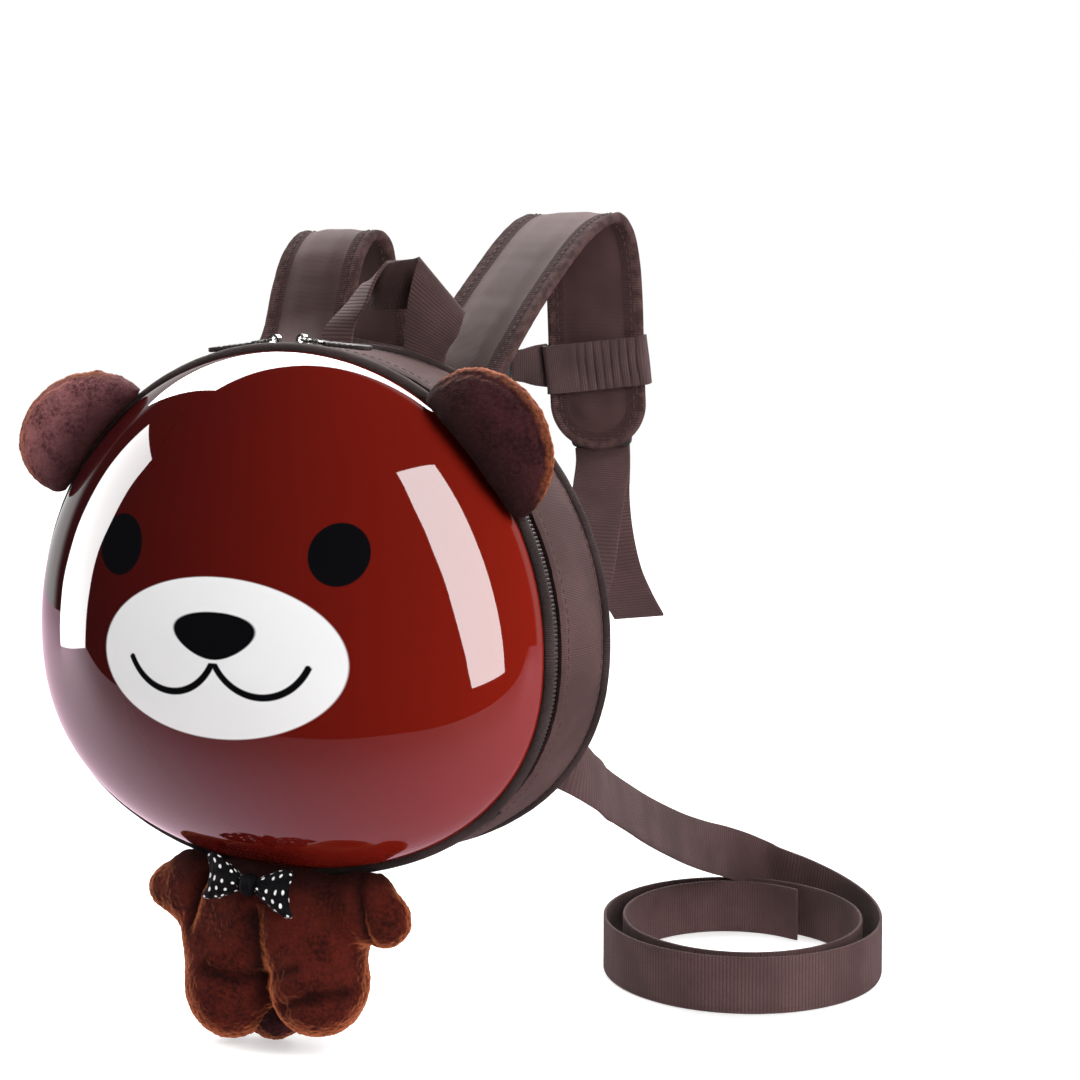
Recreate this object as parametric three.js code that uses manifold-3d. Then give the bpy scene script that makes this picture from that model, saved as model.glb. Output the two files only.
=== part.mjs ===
// A child's hard shell backpack: a domed plastic front with an animal's head outline, a zipped cloth
// gusset, a flat back with padded straps, a webbing leash, plush ears and a small plush body below.
// Millimetres, +Z up, the front looks along -Y. Pieces are placed in the bag's own frame, whose
// centre is the middle of the shell's rim, and the whole bag is then hung by its haul handle.

import * as THREE from 'three';
import { mergeVertices } from 'three/addons/utils/BufferGeometryUtils.js';
import Module from 'manifold-3d';

const wasm = await Module();
wasm.setup();

// Driving sizes
const GAP = 0.3; // between pieces that touch
const WELD = 1e-4; // corners closer than this are one
const FINE_STEPS = 400; // along a path that is searched for a level
const RIM_STEPS = 54; // facets round the head's outline
const HEAD = { halfWidth: 120, top: 117, bottom: 94.5, sidePower: 2.03, topPower: 2.0, bottomPower: 2.35 };
const SHELL = { depth: 50.5, wall: 1.6, levels: 7, riseFrom: 1.87, riseTo: 1.52 };
const FRONT_PIPING = { radius: 2.3, grow: 1.0, sides: 5 };
const TAPE = { thickness: 1.2, outer: -1.6, end: 18 };
const CHAIN = { width: 4, height: 1.5, middle: 10.2, stopX: 90 };
const GUSSET = { front: 14.5, back: 51.7, wall: 2, frontGrow: 0.7, middleGrow: 1.9, backGrow: 0.2 };
const BACK_PIPING = { radius: 1.8, grow: 0.5, sides: 5 };
const BACK_PANEL = { front: 52, thickness: 3, edgeRound: 1.2, flatShare: 0.94 };
const SLIDER = { length: 9, width: 7, corner: 1.6, plate: 2.4, bridgeWidth: 2.4, bridgeWall: 1, hole: 1.3,
  rise: 1.5 };
const SLIDER_X = { left: -8.5, right: 4 };
const PULL_RING = { length: 11, halfWidth: 3.2, wire: 0.65, corner: 1.6, tilt: 3, points: 20, sides: 6 };
const PULL_TAB = { length: 21, width: 6.5, thickness: 3.4, corner: 1.5, bevel: 0.4, eyeWidth: 4.4,
  eyeHole: 0.95, eyeWall: 0.75, neck: 1 };
const ZIP_END = { along: 7, across: 7, thickness: 1.4 };
const WEBBING = { width: 25, thickness: 1.4 };
const STRAP = { width: 44, thickness: 6.4, rootThickness: 2.2, rootTaper: 26, tip: 21, tipEnd: 0.6,
  steps: 26 };
const CHEST_BAND = { height: 21, wall: 1.3, corner: 2.4, level: 108 };
const CHEST_STRAP = { width: 16, thickness: 1.5 };
const CHEST_BUCKLE = { length: 34, height: 24, thickness: 8, bevel: 2 };
const ADJUSTER = { width: 32, height: 24, thickness: 3.6, bar: 3.4, slots: 2, corner: 2, fromTip: 13,
  lead: 7 };
const FLOOR = -170; // where the leash lies, in the bag's frame
const COIL = { x: 110.6, y: 212.3, across: 67.5, deep: 89, pitch: 9, turnFrom: 73, turnTo: -672,
  perTurn: 22 };
const COIL_TURN = 27.5; // degrees from +X to the coil's short axis
const COIL_LIFT = { height: 16, turns: 0.3 }; // the first stretch still comes down to the floor
const EAR = { rise: 8, halfWidth: 31, halfHeight: 29, halfDepth: 9, y: -2, pinchDepth: 20, pinchGrow: 9 };
const EAR_PLACE = { left: { x: -91, z: 72, lean: 147 }, right: { x: 88, z: 77, lean: 38 } };
const BOW = { x: -2.8, y: -22.05, z: -99, loop: 18, height: 20, depth: 7, sides: 8, knot: 8, knotDeep: 9,
  knotHigh: 10 };
// Facets round and along each stuffed shape.
const FACETS = { ear: [18, 12], body: [15, 9], tail: [12, 8], knot: [10, 6] };

const COLOUR = {
  shell: 0x7a1a10, piping: 0x3a2f2d, cloth: 0x63534e, webbing: 0x4e4342, metal: 0xc9c9c6,
  tab: 0x2b2525, plush: 0x6a2c1c, ear: 0x3c1f20, bow: 0x101012, plastic: 0x2a2626,
};

// Meshes and solids

const degrees = THREE.MathUtils.degToRad;
const vec = (x, y, z) => new THREE.Vector3(x, y, z);

function signedVolume(points, triangles) {
  let sum = 0;
  for (const [a, b, c] of triangles) {
    sum += points[a].dot(vec(0, 0, 0).crossVectors(points[b], points[c]));
  }
  return sum / 6;
}

// A closed mesh from its corners and triangles, with its faces turned outwards.
function closedMesh(points, triangles) {
  const outward = signedVolume(points, triangles) > 0;
  const geometry = new THREE.BufferGeometry();
  geometry.setAttribute('position', new THREE.Float32BufferAttribute(points.flatMap((p) => p.toArray()), 3));
  geometry.setIndex(triangles.flatMap(([a, b, c]) => (outward ? [a, b, c] : [a, c, b])));
  return geometry;
}

// Skins a row of rings with equal corner counts. Open ends are closed on their middle, or on a given tip.
function loft(rings, { looped = false, startTip = null, endTip = null } = {}) {
  const count = rings[0].length;
  const points = rings.flat();
  const triangles = [];
  const bands = looped ? rings.length : rings.length - 1;
  for (let i = 0; i < bands; i += 1) {
    const from = i * count;
    const to = ((i + 1) % rings.length) * count;
    for (let j = 0; j < count; j += 1) {
      const k = (j + 1) % count;
      triangles.push([from + j, to + j, to + k], [from + j, to + k, from + k]);
    }
  }
  if (!looped) {
    const middle = (ring) => ring.reduce((sum, p) => sum.add(p), vec(0, 0, 0)).divideScalar(count);
    points.push(startTip ?? middle(rings[0]), endTip ?? middle(rings.at(-1)));
    const last = (rings.length - 1) * count;
    for (let j = 0; j < count; j += 1) {
      const k = (j + 1) % count;
      triangles.push([points.length - 2, j, k], [points.length - 1, last + k, last + j]);
    }
  }
  return closedMesh(points, triangles);
}

function toSolid(geometry) {
  const bare = new THREE.BufferGeometry();
  bare.setAttribute('position', geometry.getAttribute('position').clone());
  bare.setIndex(geometry.getIndex() ? geometry.getIndex().clone() : null);
  const merged = mergeVertices(bare, WELD);
  return new wasm.Manifold(new wasm.Mesh({
    numProp: 3,
    vertProperties: new Float32Array(merged.getAttribute('position').array),
    triVerts: new Uint32Array(merged.getIndex().array),
  }));
}

function fromSolid(solid) {
  const mesh = solid.getMesh();
  const geometry = new THREE.BufferGeometry();
  geometry.setAttribute('position', new THREE.BufferAttribute(new Float32Array(mesh.vertProperties), 3));
  geometry.setIndex(new THREE.BufferAttribute(new Uint32Array(mesh.triVerts), 1));
  return geometry;
}

const join = (...shapes) => fromSolid(shapes.map(toSolid).reduce((a, b) => a.add(b)));
const cut = (shape, tool) => fromSolid(toSolid(shape).subtract(toSolid(tool)));

function ellipsoid([x, y, z], [rx, ry, rz], [around, along]) {
  return new THREE.SphereGeometry(1, around, along).scale(rx, ry, rz).translate(x, y, z);
}

// The head's outline

const power = (value, exponent) => Math.sign(value) * Math.abs(value) ** exponent;

// A point of the outline at an angle, with the outline grown by some millimetres and shrunk to a share.
function outline(angle, grow = 0, share = 1) {
  const c = share * Math.cos(angle);
  const s = share * Math.sin(angle);
  const upper = s >= 0;
  const height = (upper ? HEAD.top : HEAD.bottom) + grow;
  const x = (HEAD.halfWidth + grow) * power(c, 2 / HEAD.sidePower);
  const z = height * power(s, 2 / (upper ? HEAD.topPower : HEAD.bottomPower));
  return { x, z };
}

const rimAngles = Array.from({ length: RIM_STEPS }, (_, i) => (2 * Math.PI * i) / RIM_STEPS);
const outlineRing = (y, grow, share = 1) => rimAngles.map((angle) => {
  const { x, z } = outline(angle, grow, share);
  return vec(x, y, z);
});

// A band that runs all round the outline, from the corners of its cross section: rows of [grow, y].
const rimBand = (section) => loft(section.map(([grow, y]) => outlineRing(y, grow)), { looped: true });

// The place on the outline's upper half that is x to the right, with its outward normal and its
// tangent towards +X.
function topPlace(x, grow, y) {
  const angleAt = (wanted) => Math.acos(power(wanted / (HEAD.halfWidth + grow), HEAD.sidePower / 2));
  const at = (wanted) => {
    const { x: px, z: pz } = outline(angleAt(wanted), grow);
    return vec(px, y, pz);
  };
  const tangent = at(x + 0.5).sub(at(x - 0.5)).normalize();
  return { point: at(x), tangent, normal: vec(-tangent.z, 0, tangent.x) };
}

function domeRing(share, inset) {
  const y = -(SHELL.depth - inset) * (1 - share ** SHELL.riseFrom) ** (1 / SHELL.riseTo);
  return outlineRing(y, -inset, share);
}

const domeShares = Array.from({ length: SHELL.levels }, (_, i) => (
  Math.sin(((i + 1) / SHELL.levels) * Math.PI / 2)));

// The bag's outside with the gap added: what plush pieces are cut back to.
function bagClearance() {
  const pipingReach = FRONT_PIPING.grow + FRONT_PIPING.radius + GAP;
  const pipingEnd = 2 * (FRONT_PIPING.radius + GAP) + GAP;
  const back = BACK_PANEL.front + BACK_PANEL.thickness + GAP;
  const steps = [[0, GAP], [0, pipingReach], [pipingEnd, pipingReach],
    [pipingEnd + GAP, GUSSET.middleGrow + GAP], [back, GUSSET.middleGrow + GAP]];
  const rings = [...domeShares.map((share) => domeRing(share, -GAP)),
    ...steps.slice(1).map(([y, grow]) => outlineRing(y, grow))];
  return loft(rings, { startTip: vec(0, -SHELL.depth - GAP, 0) });
}

function frontShell() {
  const outer = domeShares.map((share) => domeRing(share, 0));
  const inner = domeShares.map((share) => domeRing(share, SHELL.wall)).reverse();
  return loft([...outer, ...inner], {
    startTip: vec(0, -SHELL.depth, 0),
    endTip: vec(0, -SHELL.depth + SHELL.wall, 0),
  });
}

function pipingRing({ radius, grow, sides }, y) {
  const section = Array.from({ length: sides }, (_, i) => {
    const turn = (2 * Math.PI * i) / sides;
    return [grow + radius * Math.cos(turn), y + radius * Math.sin(turn)];
  });
  return rimBand(section);
}

const frontPiping = () => pipingRing(FRONT_PIPING, FRONT_PIPING.radius + GAP);

const zipTape = () => rimBand([
  [TAPE.outer, GAP], [TAPE.outer, TAPE.end],
  [TAPE.outer - TAPE.thickness, TAPE.end], [TAPE.outer - TAPE.thickness, GAP],
]);

// The angle of the outline's lower half where the zip stops.
const zipStop = -Math.acos(power(CHAIN.stopX / HEAD.halfWidth, HEAD.sidePower / 2));

function zipChain() {
  const inner = TAPE.outer + GAP;
  const half = CHAIN.width / 2;
  const outer = inner + CHAIN.height;
  const section = [[inner, -half], [inner, half], [outer, half], [outer, -half]];
  const between = [...rimAngles.map((angle) => angle - 2 * Math.PI), ...rimAngles]
    .filter((angle) => angle > zipStop && angle < Math.PI - zipStop);
  const angles = [zipStop, ...between, Math.PI - zipStop];
  return loft(angles.map((angle) => section.map(([grow, y]) => {
    const { x, z } = outline(angle, grow);
    return vec(x, CHAIN.middle + y, z);
  })));
}

function gusset() {
  const { front, back, wall, frontGrow, middleGrow, backGrow } = GUSSET;
  const middle = (front + back) / 2;
  return rimBand([
    [frontGrow, front], [middleGrow, middle], [backGrow, back],
    [backGrow - wall, back], [middleGrow - wall, middle], [frontGrow - wall, front],
  ]);
}

const backPiping = () => pipingRing(BACK_PIPING, GUSSET.back + GAP + BACK_PIPING.radius);

function backPanel() {
  const { front, thickness, edgeRound, flatShare } = BACK_PANEL;
  const grow = BACK_PIPING.grow - BACK_PIPING.radius - GAP;
  const rear = front + thickness;
  return loft([
    outlineRing(front, grow), outlineRing(rear - edgeRound, grow),
    outlineRing(rear, grow, flatShare),
  ]);
}

// Straps and webbing: smooth paths through short tables, with a flat section carried along them.

// Columns: x, y, z, yaw of the strap's width from +X in degrees, for the strap on the +X side.
const RIGHT_STRAP = [
  [44, 57.2, 79, 0], [44.5, 57.7, 91, 0], [45.5, 64, 105, 0], [47, 74, 117, 0], [49, 92, 134.5, 0],
  [50.5, 113, 151, 0], [51, 133, 164, 2], [51, 151, 171.5, 6], [51, 165, 173, 10], [51, 175, 166, 13],
  [51, 180.5, 153, 16], [51, 183, 138, 17], [51, 184.5, 118, 17], [51, 186, 98, 17], [51, 187.5, 84, 17],
  [51, 189, 69, 17],
];
// The other strap stands steeper and reaches less far back. Same columns.
const LEFT_STRAP = [
  [-44, 57.2, 79, 0], [-44.5, 57.7, 90, 0], [-46, 66, 101, 0], [-48, 83, 110, 0], [-50, 98, 123, 0],
  [-51, 107, 142, 0], [-51, 115, 157, -2], [-51, 127, 166, -6], [-51, 139, 164, -10], [-51, 147, 153, -13],
  [-51, 151, 135, -16], [-51, 153, 115, -17], [-51, 155, 90, -17], [-51, 157, 65, -17], [-51, 158, 47, -17],
  [-51, 159, 28, -17],
];
// Columns as above: from the low corner of the back up towards the adjuster.
const RIGHT_WEBBING = [
  [56, 56.4, -76, 0], [56, 58, -64, 0], [56, 80, -54, 3], [56, 115, -36, 6], [54, 150, -10, 10],
  [52.5, 172, 14, 14], [50.3, 184, 36, 17], [49.7, 190.5, 50, 17],
];
const LEFT_WEBBING = [
  [-56, 56.4, -76, 0], [-56, 58, -66, 0], [-56, 78, -62, -3], [-56, 104, -55, -6], [-54, 130, -38, -10],
  [-52, 150, -12, -14], [-50, 161, 12, -17],
];
// Columns as above: from below the adjuster down to the free end.
const RIGHT_TAIL = [
  [48, 198.5, 64, 17], [48.5, 197, 47, 17], [50, 197.5, 31, 16], [51.5, 203, 14, 15], [52, 214, 1, 14],
  [52, 229, -12, 13],
];
const LEFT_TAIL = [
  [-49, 168, 20, -17], [-49.5, 169.5, -4, -17], [-50.5, 173, -28, -16], [-51.5, 180, -49, -15],
  [-52, 189, -68, -14],
];
// Columns: x, y, z, yaw of the webbing's width. The loop leans to +X and turns edge-on at its top.
const HANDLE = [
  [-34, 56.6, 100, 0], [-34, 57, 109, 2], [-31, 58, 116.5, 20], [-22, 59.5, 121, 60], [-10, 60.5, 124.5, 80],
  [0, 61, 131, 85], [8, 61, 139.5, 86], [14, 61, 148, 86], [21, 61, 153.5, 88], [28, 60.5, 151, 74],
  [36, 59.5, 143.5, 38], [39, 58.8, 133, 12], [37.5, 58, 121, 3], [35, 57.2, 111, 0], [34, 56.6, 100, 0],
];
// Columns: x, y, z, lean of the webbing's upper edge away from the front, in degrees. From the seam
// of the back down to the coil.
const LEASH_RUN = [
  [74, 57, -37, 0], [88, 57.7, -44, 0], [99.5, 62.5, -52.5, 8], [102, 82, -64, 40], [95.5, 108, -74, 54],
  [90, 140, -86, 54], [85, 168, -96, 50], [80.5, 200, -107, 44], [77.5, 230, -117, 36], [76.5, 256, -125, 26],
  [78, 276, -131, 16], [82, 288, -136, 8],
];

// Frames along a smooth path: the place, the run, the width's direction and the face's normal.
function pathFrames(rows, steps, widthOf) {
  const curve = new THREE.CatmullRomCurve3(rows.map(([x, y, z]) => vec(x, y, z)), false, 'centripetal');
  return Array.from({ length: steps + 1 }, (_, i) => {
    const t = i / steps;
    const row = Math.min(Math.floor(t * (rows.length - 1)), rows.length - 2);
    const angle = THREE.MathUtils.lerp(rows[row][3], rows[row + 1][3], t * (rows.length - 1) - row);
    const run = curve.getTangent(t);
    const wide = widthOf(degrees(angle));
    const width = wide.addScaledVector(run, -wide.dot(run)).normalize();
    return { place: curve.getPoint(t), run, width, normal: vec(0, 0, 0).crossVectors(run, width) };
  });
}

const levelWidth = (yaw) => vec(Math.cos(yaw), Math.sin(yaw), 0);
const onEdge = (lean) => vec(-Math.sin(degrees(COIL_TURN)) * Math.sin(lean),
  Math.cos(degrees(COIL_TURN)) * Math.sin(lean), Math.cos(lean));

const offset = ({ place, width, normal }, across, out) => place.clone()
  .addScaledVector(width, across).addScaledVector(normal, out);

const flatSection = (width, thickness) => [[-1, -1], [1, -1], [1, 1], [-1, 1]]
  .map(([across, out]) => [across * width / 2, out * thickness / 2]);

function ribbon(frames, width = WEBBING.width, thickness = WEBBING.thickness) {
  const section = flatSection(width, thickness);
  return loft(frames.map((frame) => section.map(([across, out]) => offset(frame, across, out))));
}

const webbing = (rows) => ribbon(pathFrames(rows, 2 * (rows.length - 1), levelWidth));

// The pad's section: shares of its half width and half thickness, thin at the bound edges.
const PAD_CROWN = 1.06;
const PAD_SECTION = [[-1, -0.5], [-0.72, -1], [0, -PAD_CROWN], [0.72, -1], [1, -0.5],
  [1, 0.5], [0.72, 1], [0, PAD_CROWN], [-0.72, 1], [-1, 0.5]];
const PAD_FACE = (STRAP.thickness / 2) * PAD_CROWN; // from the pad's middle to its face

function shoulderStrap(rows) {
  const frames = pathFrames(rows, STRAP.steps, levelWidth);
  const reach = [0];
  for (let i = 1; i < frames.length; i += 1) {
    reach.push(reach[i - 1] + frames[i].place.distanceTo(frames[i - 1].place));
  }
  const total = reach.at(-1);
  const rings = frames.map((frame, i) => {
    const left = Math.min(1, (total - reach[i] + STRAP.tipEnd) / STRAP.tip);
    const halfWidth = (STRAP.width / 2) * Math.sqrt(1 - (1 - left) ** 2);
    const grown = THREE.MathUtils.smoothstep(reach[i], 0, STRAP.rootTaper);
    const halfThick = THREE.MathUtils.lerp(STRAP.rootThickness, STRAP.thickness, grown) / 2;
    return PAD_SECTION.map(([across, out]) => offset(frame, across * halfWidth, out * halfThick));
  });
  return loft(rings);
}

// The frame of a strap where it comes down past a level.
function frameAtLevel(rows, level) {
  const frames = pathFrames(rows, FINE_STEPS, levelWidth);
  const top = frames.reduce((best, frame, i) => (frame.place.z > frames[best].place.z ? i : best), 0);
  return frames.slice(top).find((frame) => frame.place.z <= level);
}

// Turns a shape drawn with X across, Y out and Z back up the run onto a frame.
function seat(geometry, { place, run, width, normal }) {
  const turn = new THREE.Matrix4().makeBasis(width, normal.clone().negate(), run.clone().negate());
  return geometry.applyMatrix4(turn.setPosition(place));
}

function roundedBox(halfX, halfY, corner, outlineShape = new THREE.Shape()) {
  outlineShape.moveTo(-halfX + corner, -halfY).lineTo(halfX - corner, -halfY);
  outlineShape.absarc(halfX - corner, -halfY + corner, corner, -Math.PI / 2, 0);
  outlineShape.absarc(halfX - corner, halfY - corner, corner, 0, Math.PI / 2);
  outlineShape.absarc(-halfX + corner, halfY - corner, corner, Math.PI / 2, Math.PI);
  outlineShape.absarc(-halfX + corner, -halfY + corner, corner, Math.PI, 1.5 * Math.PI);
  return outlineShape;
}

const extrude = (shape, depth, curveSegments = 3) => new THREE.ExtrudeGeometry(shape, {
  depth, curveSegments, bevelEnabled: false,
}).translate(0, 0, -depth / 2);

const bandInner = { halfX: STRAP.width / 2 + GAP, halfY: PAD_FACE + 2 * GAP };
const bandOuter = { halfX: bandInner.halfX + CHEST_BAND.wall, halfY: bandInner.halfY + CHEST_BAND.wall };

function chestBand(rows) {
  const shape = roundedBox(bandOuter.halfX, bandOuter.halfY, CHEST_BAND.corner);
  const innerCorner = CHEST_BAND.corner - CHEST_BAND.wall;
  shape.holes.push(roundedBox(bandInner.halfX, bandInner.halfY, innerCorner, new THREE.Path()));
  return seat(extrude(shape, CHEST_BAND.height), frameAtLevel(rows, CHEST_BAND.level));
}

// The inner side of a pad's band, where the chest strap leaves it.
function chestStrapEnd(rows, side) {
  const frame = frameAtLevel(rows, CHEST_BAND.level);
  return offset(frame, -side * (bandOuter.halfX + 3 * GAP), 0);
}

const chestEnds = { right: chestStrapEnd(RIGHT_STRAP, 1), left: chestStrapEnd(LEFT_STRAP, -1) };
const chestLine = chestEnds.right.clone().sub(chestEnds.left);
const chestFrame = {
  place: chestEnds.right.clone().add(chestEnds.left).divideScalar(2),
  run: vec(0, 0, -1),
  width: chestLine.clone().setZ(0).normalize(),
};
chestFrame.normal = vec(0, 0, 0).crossVectors(chestFrame.run, chestFrame.width);

function chestStrap(side) {
  const long = chestLine.length() / 2 - CHEST_BUCKLE.length / 2 - GAP;
  const middle = side * (CHEST_BUCKLE.length / 2 + GAP + long / 2);
  const strap = new THREE.BoxGeometry(long, CHEST_STRAP.thickness, CHEST_STRAP.width).translate(middle, 0, 0);
  return seat(strap, chestFrame);
}

function chestBuckle() {
  const { length, height, thickness, bevel } = CHEST_BUCKLE;
  const shape = roundedBox(length / 2, height / 2, 2 * bevel);
  const buckle = new THREE.ExtrudeGeometry(shape, {
    depth: thickness - bevel, curveSegments: 3, bevelSegments: 1, bevelSize: bevel / 2,
    bevelThickness: bevel / 2, bevelOffset: -bevel / 2,
  });
  return seat(buckle.translate(0, 0, -(thickness - bevel) / 2).rotateX(Math.PI / 2), chestFrame);
}

// A place on the outer side of a pad's lower end, some way out of its face and down from the adjuster.
function adjusterFrame(rows, out, down = 0) {
  const frame = frameAtLevel(rows, rows.at(-1)[2] + ADJUSTER.fromTip);
  const place = offset(frame, 0, -PAD_FACE - GAP - out).addScaledVector(frame.run, down);
  return { ...frame, place };
}

const adjusterRow = (rows, out, down) => [...adjusterFrame(rows, out, down).place.toArray(), rows.at(-1)[3]];

// A ladder buckle: a flat frame with slots for the webbing, on the outer face of the pad's lower end.
function strapAdjuster(rows) {
  const { width, height, thickness, bar, slots, corner } = ADJUSTER;
  const shape = roundedBox(width / 2, height / 2, corner);
  const slotHeight = (height - bar * (slots + 1)) / slots;
  const side = width / 2 - bar;
  for (let i = 0; i < slots; i += 1) {
    const low = -height / 2 + bar + i * (slotHeight + bar);
    const slot = new THREE.Path().moveTo(-side, low).lineTo(side, low).lineTo(side, low + slotHeight);
    shape.holes.push(slot.lineTo(-side, low + slotHeight));
  }
  return seat(extrude(shape, thickness, 2).rotateX(Math.PI / 2), adjusterFrame(rows, thickness / 2));
}

// The webbing comes up to the adjuster's lower edge, and its free end hangs from the outer face.
function lowerWebbing(lower, strap) {
  const out = ADJUSTER.thickness / 2;
  const end = ADJUSTER.height / 2 + 2 * GAP;
  return webbing([...lower, adjusterRow(strap, out, end + ADJUSTER.lead), adjusterRow(strap, out, end)]);
}

function freeTail(tail, strap) {
  return webbing([adjusterRow(strap, ADJUSTER.thickness + GAP + WEBBING.thickness / 2, 0), ...tail]);
}

function leash() {
  const turns = (COIL.turnFrom - COIL.turnTo) / 360;
  const steps = Math.round(turns * COIL.perTurn);
  const coil = Array.from({ length: steps + 1 }, (_, i) => {
    const turned = (turns * i) / steps;
    const angle = degrees(COIL.turnFrom - 360 * turned);
    const across = (COIL.across - COIL.pitch * turned) * Math.cos(angle);
    const deep = (COIL.deep - COIL.pitch * turned) * Math.sin(angle);
    const c = Math.cos(degrees(COIL_TURN));
    const s = Math.sin(degrees(COIL_TURN));
    const lift = COIL_LIFT.height * Math.max(0, 1 - turned / COIL_LIFT.turns) ** 2;
    const level = FLOOR + WEBBING.width / 2 + lift;
    return [COIL.x + across * c - deep * s, COIL.y + across * s + deep * c, level, 0];
  });
  const rows = [...LEASH_RUN, ...coil];
  return ribbon(pathFrames(rows, rows.length + LEASH_RUN.length, onEdge));
}

// Zip hardware

// A slider's frame: X along the zip away from the other slider, Y across it, Z out of the bag.
function sliderFrame(side) {
  const chainTop = TAPE.outer + GAP + CHAIN.height;
  const { point, tangent, normal } = topPlace(SLIDER_X[side], chainTop + GAP, CHAIN.middle);
  const along = tangent.multiplyScalar(side === 'left' ? -1 : 1);
  const across = vec(0, 0, 0).crossVectors(normal, along);
  return new THREE.Matrix4().makeBasis(along, across, normal).setPosition(point);
}

const bridgeHeight = SLIDER.plate + SLIDER.rise;

function zipSlider(side) {
  const { length, width, corner, plate, bridgeWidth, bridgeWall, hole, rise } = SLIDER;
  const base = extrude(roundedBox(length / 2, width / 2, corner), plate, 2).translate(0, 0, plate / 2);
  const arch = new THREE.Shape();
  const outer = hole + bridgeWall;
  arch.moveTo(-outer, -rise - plate / 2).lineTo(outer, -rise - plate / 2).lineTo(outer, 0);
  arch.absarc(0, 0, outer, 0, Math.PI).lineTo(-outer, -rise - plate / 2);
  const eye = new THREE.Path().absarc(0, 0, hole, 0, 2 * Math.PI);
  arch.holes.push(eye);
  const bridge = extrude(arch, bridgeWidth, 8).rotateX(Math.PI / 2).translate(0, 0, bridgeHeight);
  return join(base, bridge).applyMatrix4(sliderFrame(side));
}

// The pull turns about the middle of the bridge's eye; at rest it tips down a little towards the zip.
const pullFrame = (side) => sliderFrame(side)
  .multiply(new THREE.Matrix4().makeTranslation(0, 0, bridgeHeight))
  .multiply(new THREE.Matrix4().makeRotationY(degrees(PULL_RING.tilt)));

function pullRing(side) {
  const { length, halfWidth, wire, corner, points, sides } = PULL_RING;
  const path = roundedBox(length / 2, halfWidth, corner, new THREE.Path()).getSpacedPoints(points).slice(0, -1);
  const rings = path.map((point, i) => {
    const next = path[(i + 1) % path.length];
    const last = path.at(i - 1);
    const run = vec(next.x - last.x, next.y - last.y, 0).normalize();
    const out = vec(run.y, -run.x, 0);
    return Array.from({ length: sides }, (_, k) => {
      const turn = (2 * Math.PI * k) / sides;
      return vec(point.x, point.y, wire * Math.sin(turn)).addScaledVector(out, wire * Math.cos(turn));
    });
  });
  return loft(rings, { looped: true }).translate(length / 2, 0, 0).applyMatrix4(pullFrame(side));
}

function pullTab(side) {
  const { length, width, thickness, corner, bevel, eyeWidth, eyeHole, eyeWall, neck } = PULL_TAB;
  const eyeReach = eyeHole + eyeWall;
  const plateStart = eyeHole + GAP + PULL_RING.wire;
  const neckEnd = plateStart + neck;
  const eye = new THREE.Shape().moveTo(neckEnd, -eyeReach).lineTo(neckEnd, eyeReach).lineTo(0, eyeReach);
  eye.absarc(0, 0, eyeReach, Math.PI / 2, 1.5 * Math.PI);
  eye.holes.push(new THREE.Path().absarc(0, 0, eyeHole, 0, 2 * Math.PI));
  const loop = extrude(eye, eyeWidth, 6).rotateX(Math.PI / 2);
  const plateLength = length - plateStart;
  const plate = new THREE.ExtrudeGeometry(roundedBox(plateLength / 2, width / 2, corner), {
    depth: thickness - 2 * bevel, curveSegments: 2, bevelSegments: 1, bevelSize: bevel, bevelThickness: bevel,
    bevelOffset: -bevel,
  }).translate(plateStart + plateLength / 2, 0, bevel - thickness / 2);
  return join(loop, plate).translate(PULL_RING.length, 0, 0).applyMatrix4(pullFrame(side));
}

function zipEnd(side) {
  const { along, across, thickness } = ZIP_END;
  const grow = TAPE.outer + 2 * GAP + CHAIN.height;
  const at = (x) => {
    const angle = -Math.acos(power(x / (HEAD.halfWidth + grow), HEAD.sidePower / 2));
    const place = outline(angle, grow);
    return vec(place.x, CHAIN.middle, place.z);
  };
  const low = at(CHAIN.stopX - along / 3);
  const high = at(CHAIN.stopX + along / 3);
  const run = high.clone().sub(low).normalize();
  const out = vec(-run.z, 0, run.x);
  const outward = out.dot(low) > 0 ? out : out.negate();
  const turn = new THREE.Matrix4().makeBasis(run, vec(0, 0, 0).crossVectors(outward, run), outward);
  const middle = low.add(high).divideScalar(2).addScaledVector(outward, thickness / 2);
  const cover = new THREE.BoxGeometry(along, across, thickness).applyMatrix4(turn.setPosition(middle));
  return side === 'right' ? cover : mirrored(cover);
}

// The same shape on the other side of the bag's middle plane, with its faces still turned outwards.
function mirrored(geometry) {
  const bare = new THREE.BufferGeometry();
  bare.setAttribute('position', geometry.getAttribute('position').clone());
  bare.setIndex(geometry.getIndex() ? geometry.getIndex().clone() : null);
  const whole = mergeVertices(bare, WELD);
  const index = whole.getIndex().array;
  for (let i = 0; i < index.length; i += 3) {
    [index[i + 1], index[i + 2]] = [index[i + 2], index[i + 1]];
  }
  return whole.scale(-1, 1, 1);
}

// Plush pieces

// An ear is cut back to the bag, and to a funnel in front of the rim where it is pinched into the seam.
function ear(side) {
  const { x, z, lean } = EAR_PLACE[side];
  const shape = ellipsoid([0, 0, EAR.rise], [EAR.halfWidth, EAR.halfDepth, EAR.halfHeight], FACETS.ear);
  shape.rotateY(Math.PI / 2 - degrees(lean)).translate(x, EAR.y, z);
  const pinch = loft([outlineRing(GAP, GAP), outlineRing(-EAR.pinchDepth, EAR.pinchGrow)]);
  return cut(cut(shape, bagClearance()), pinch);
}

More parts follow.
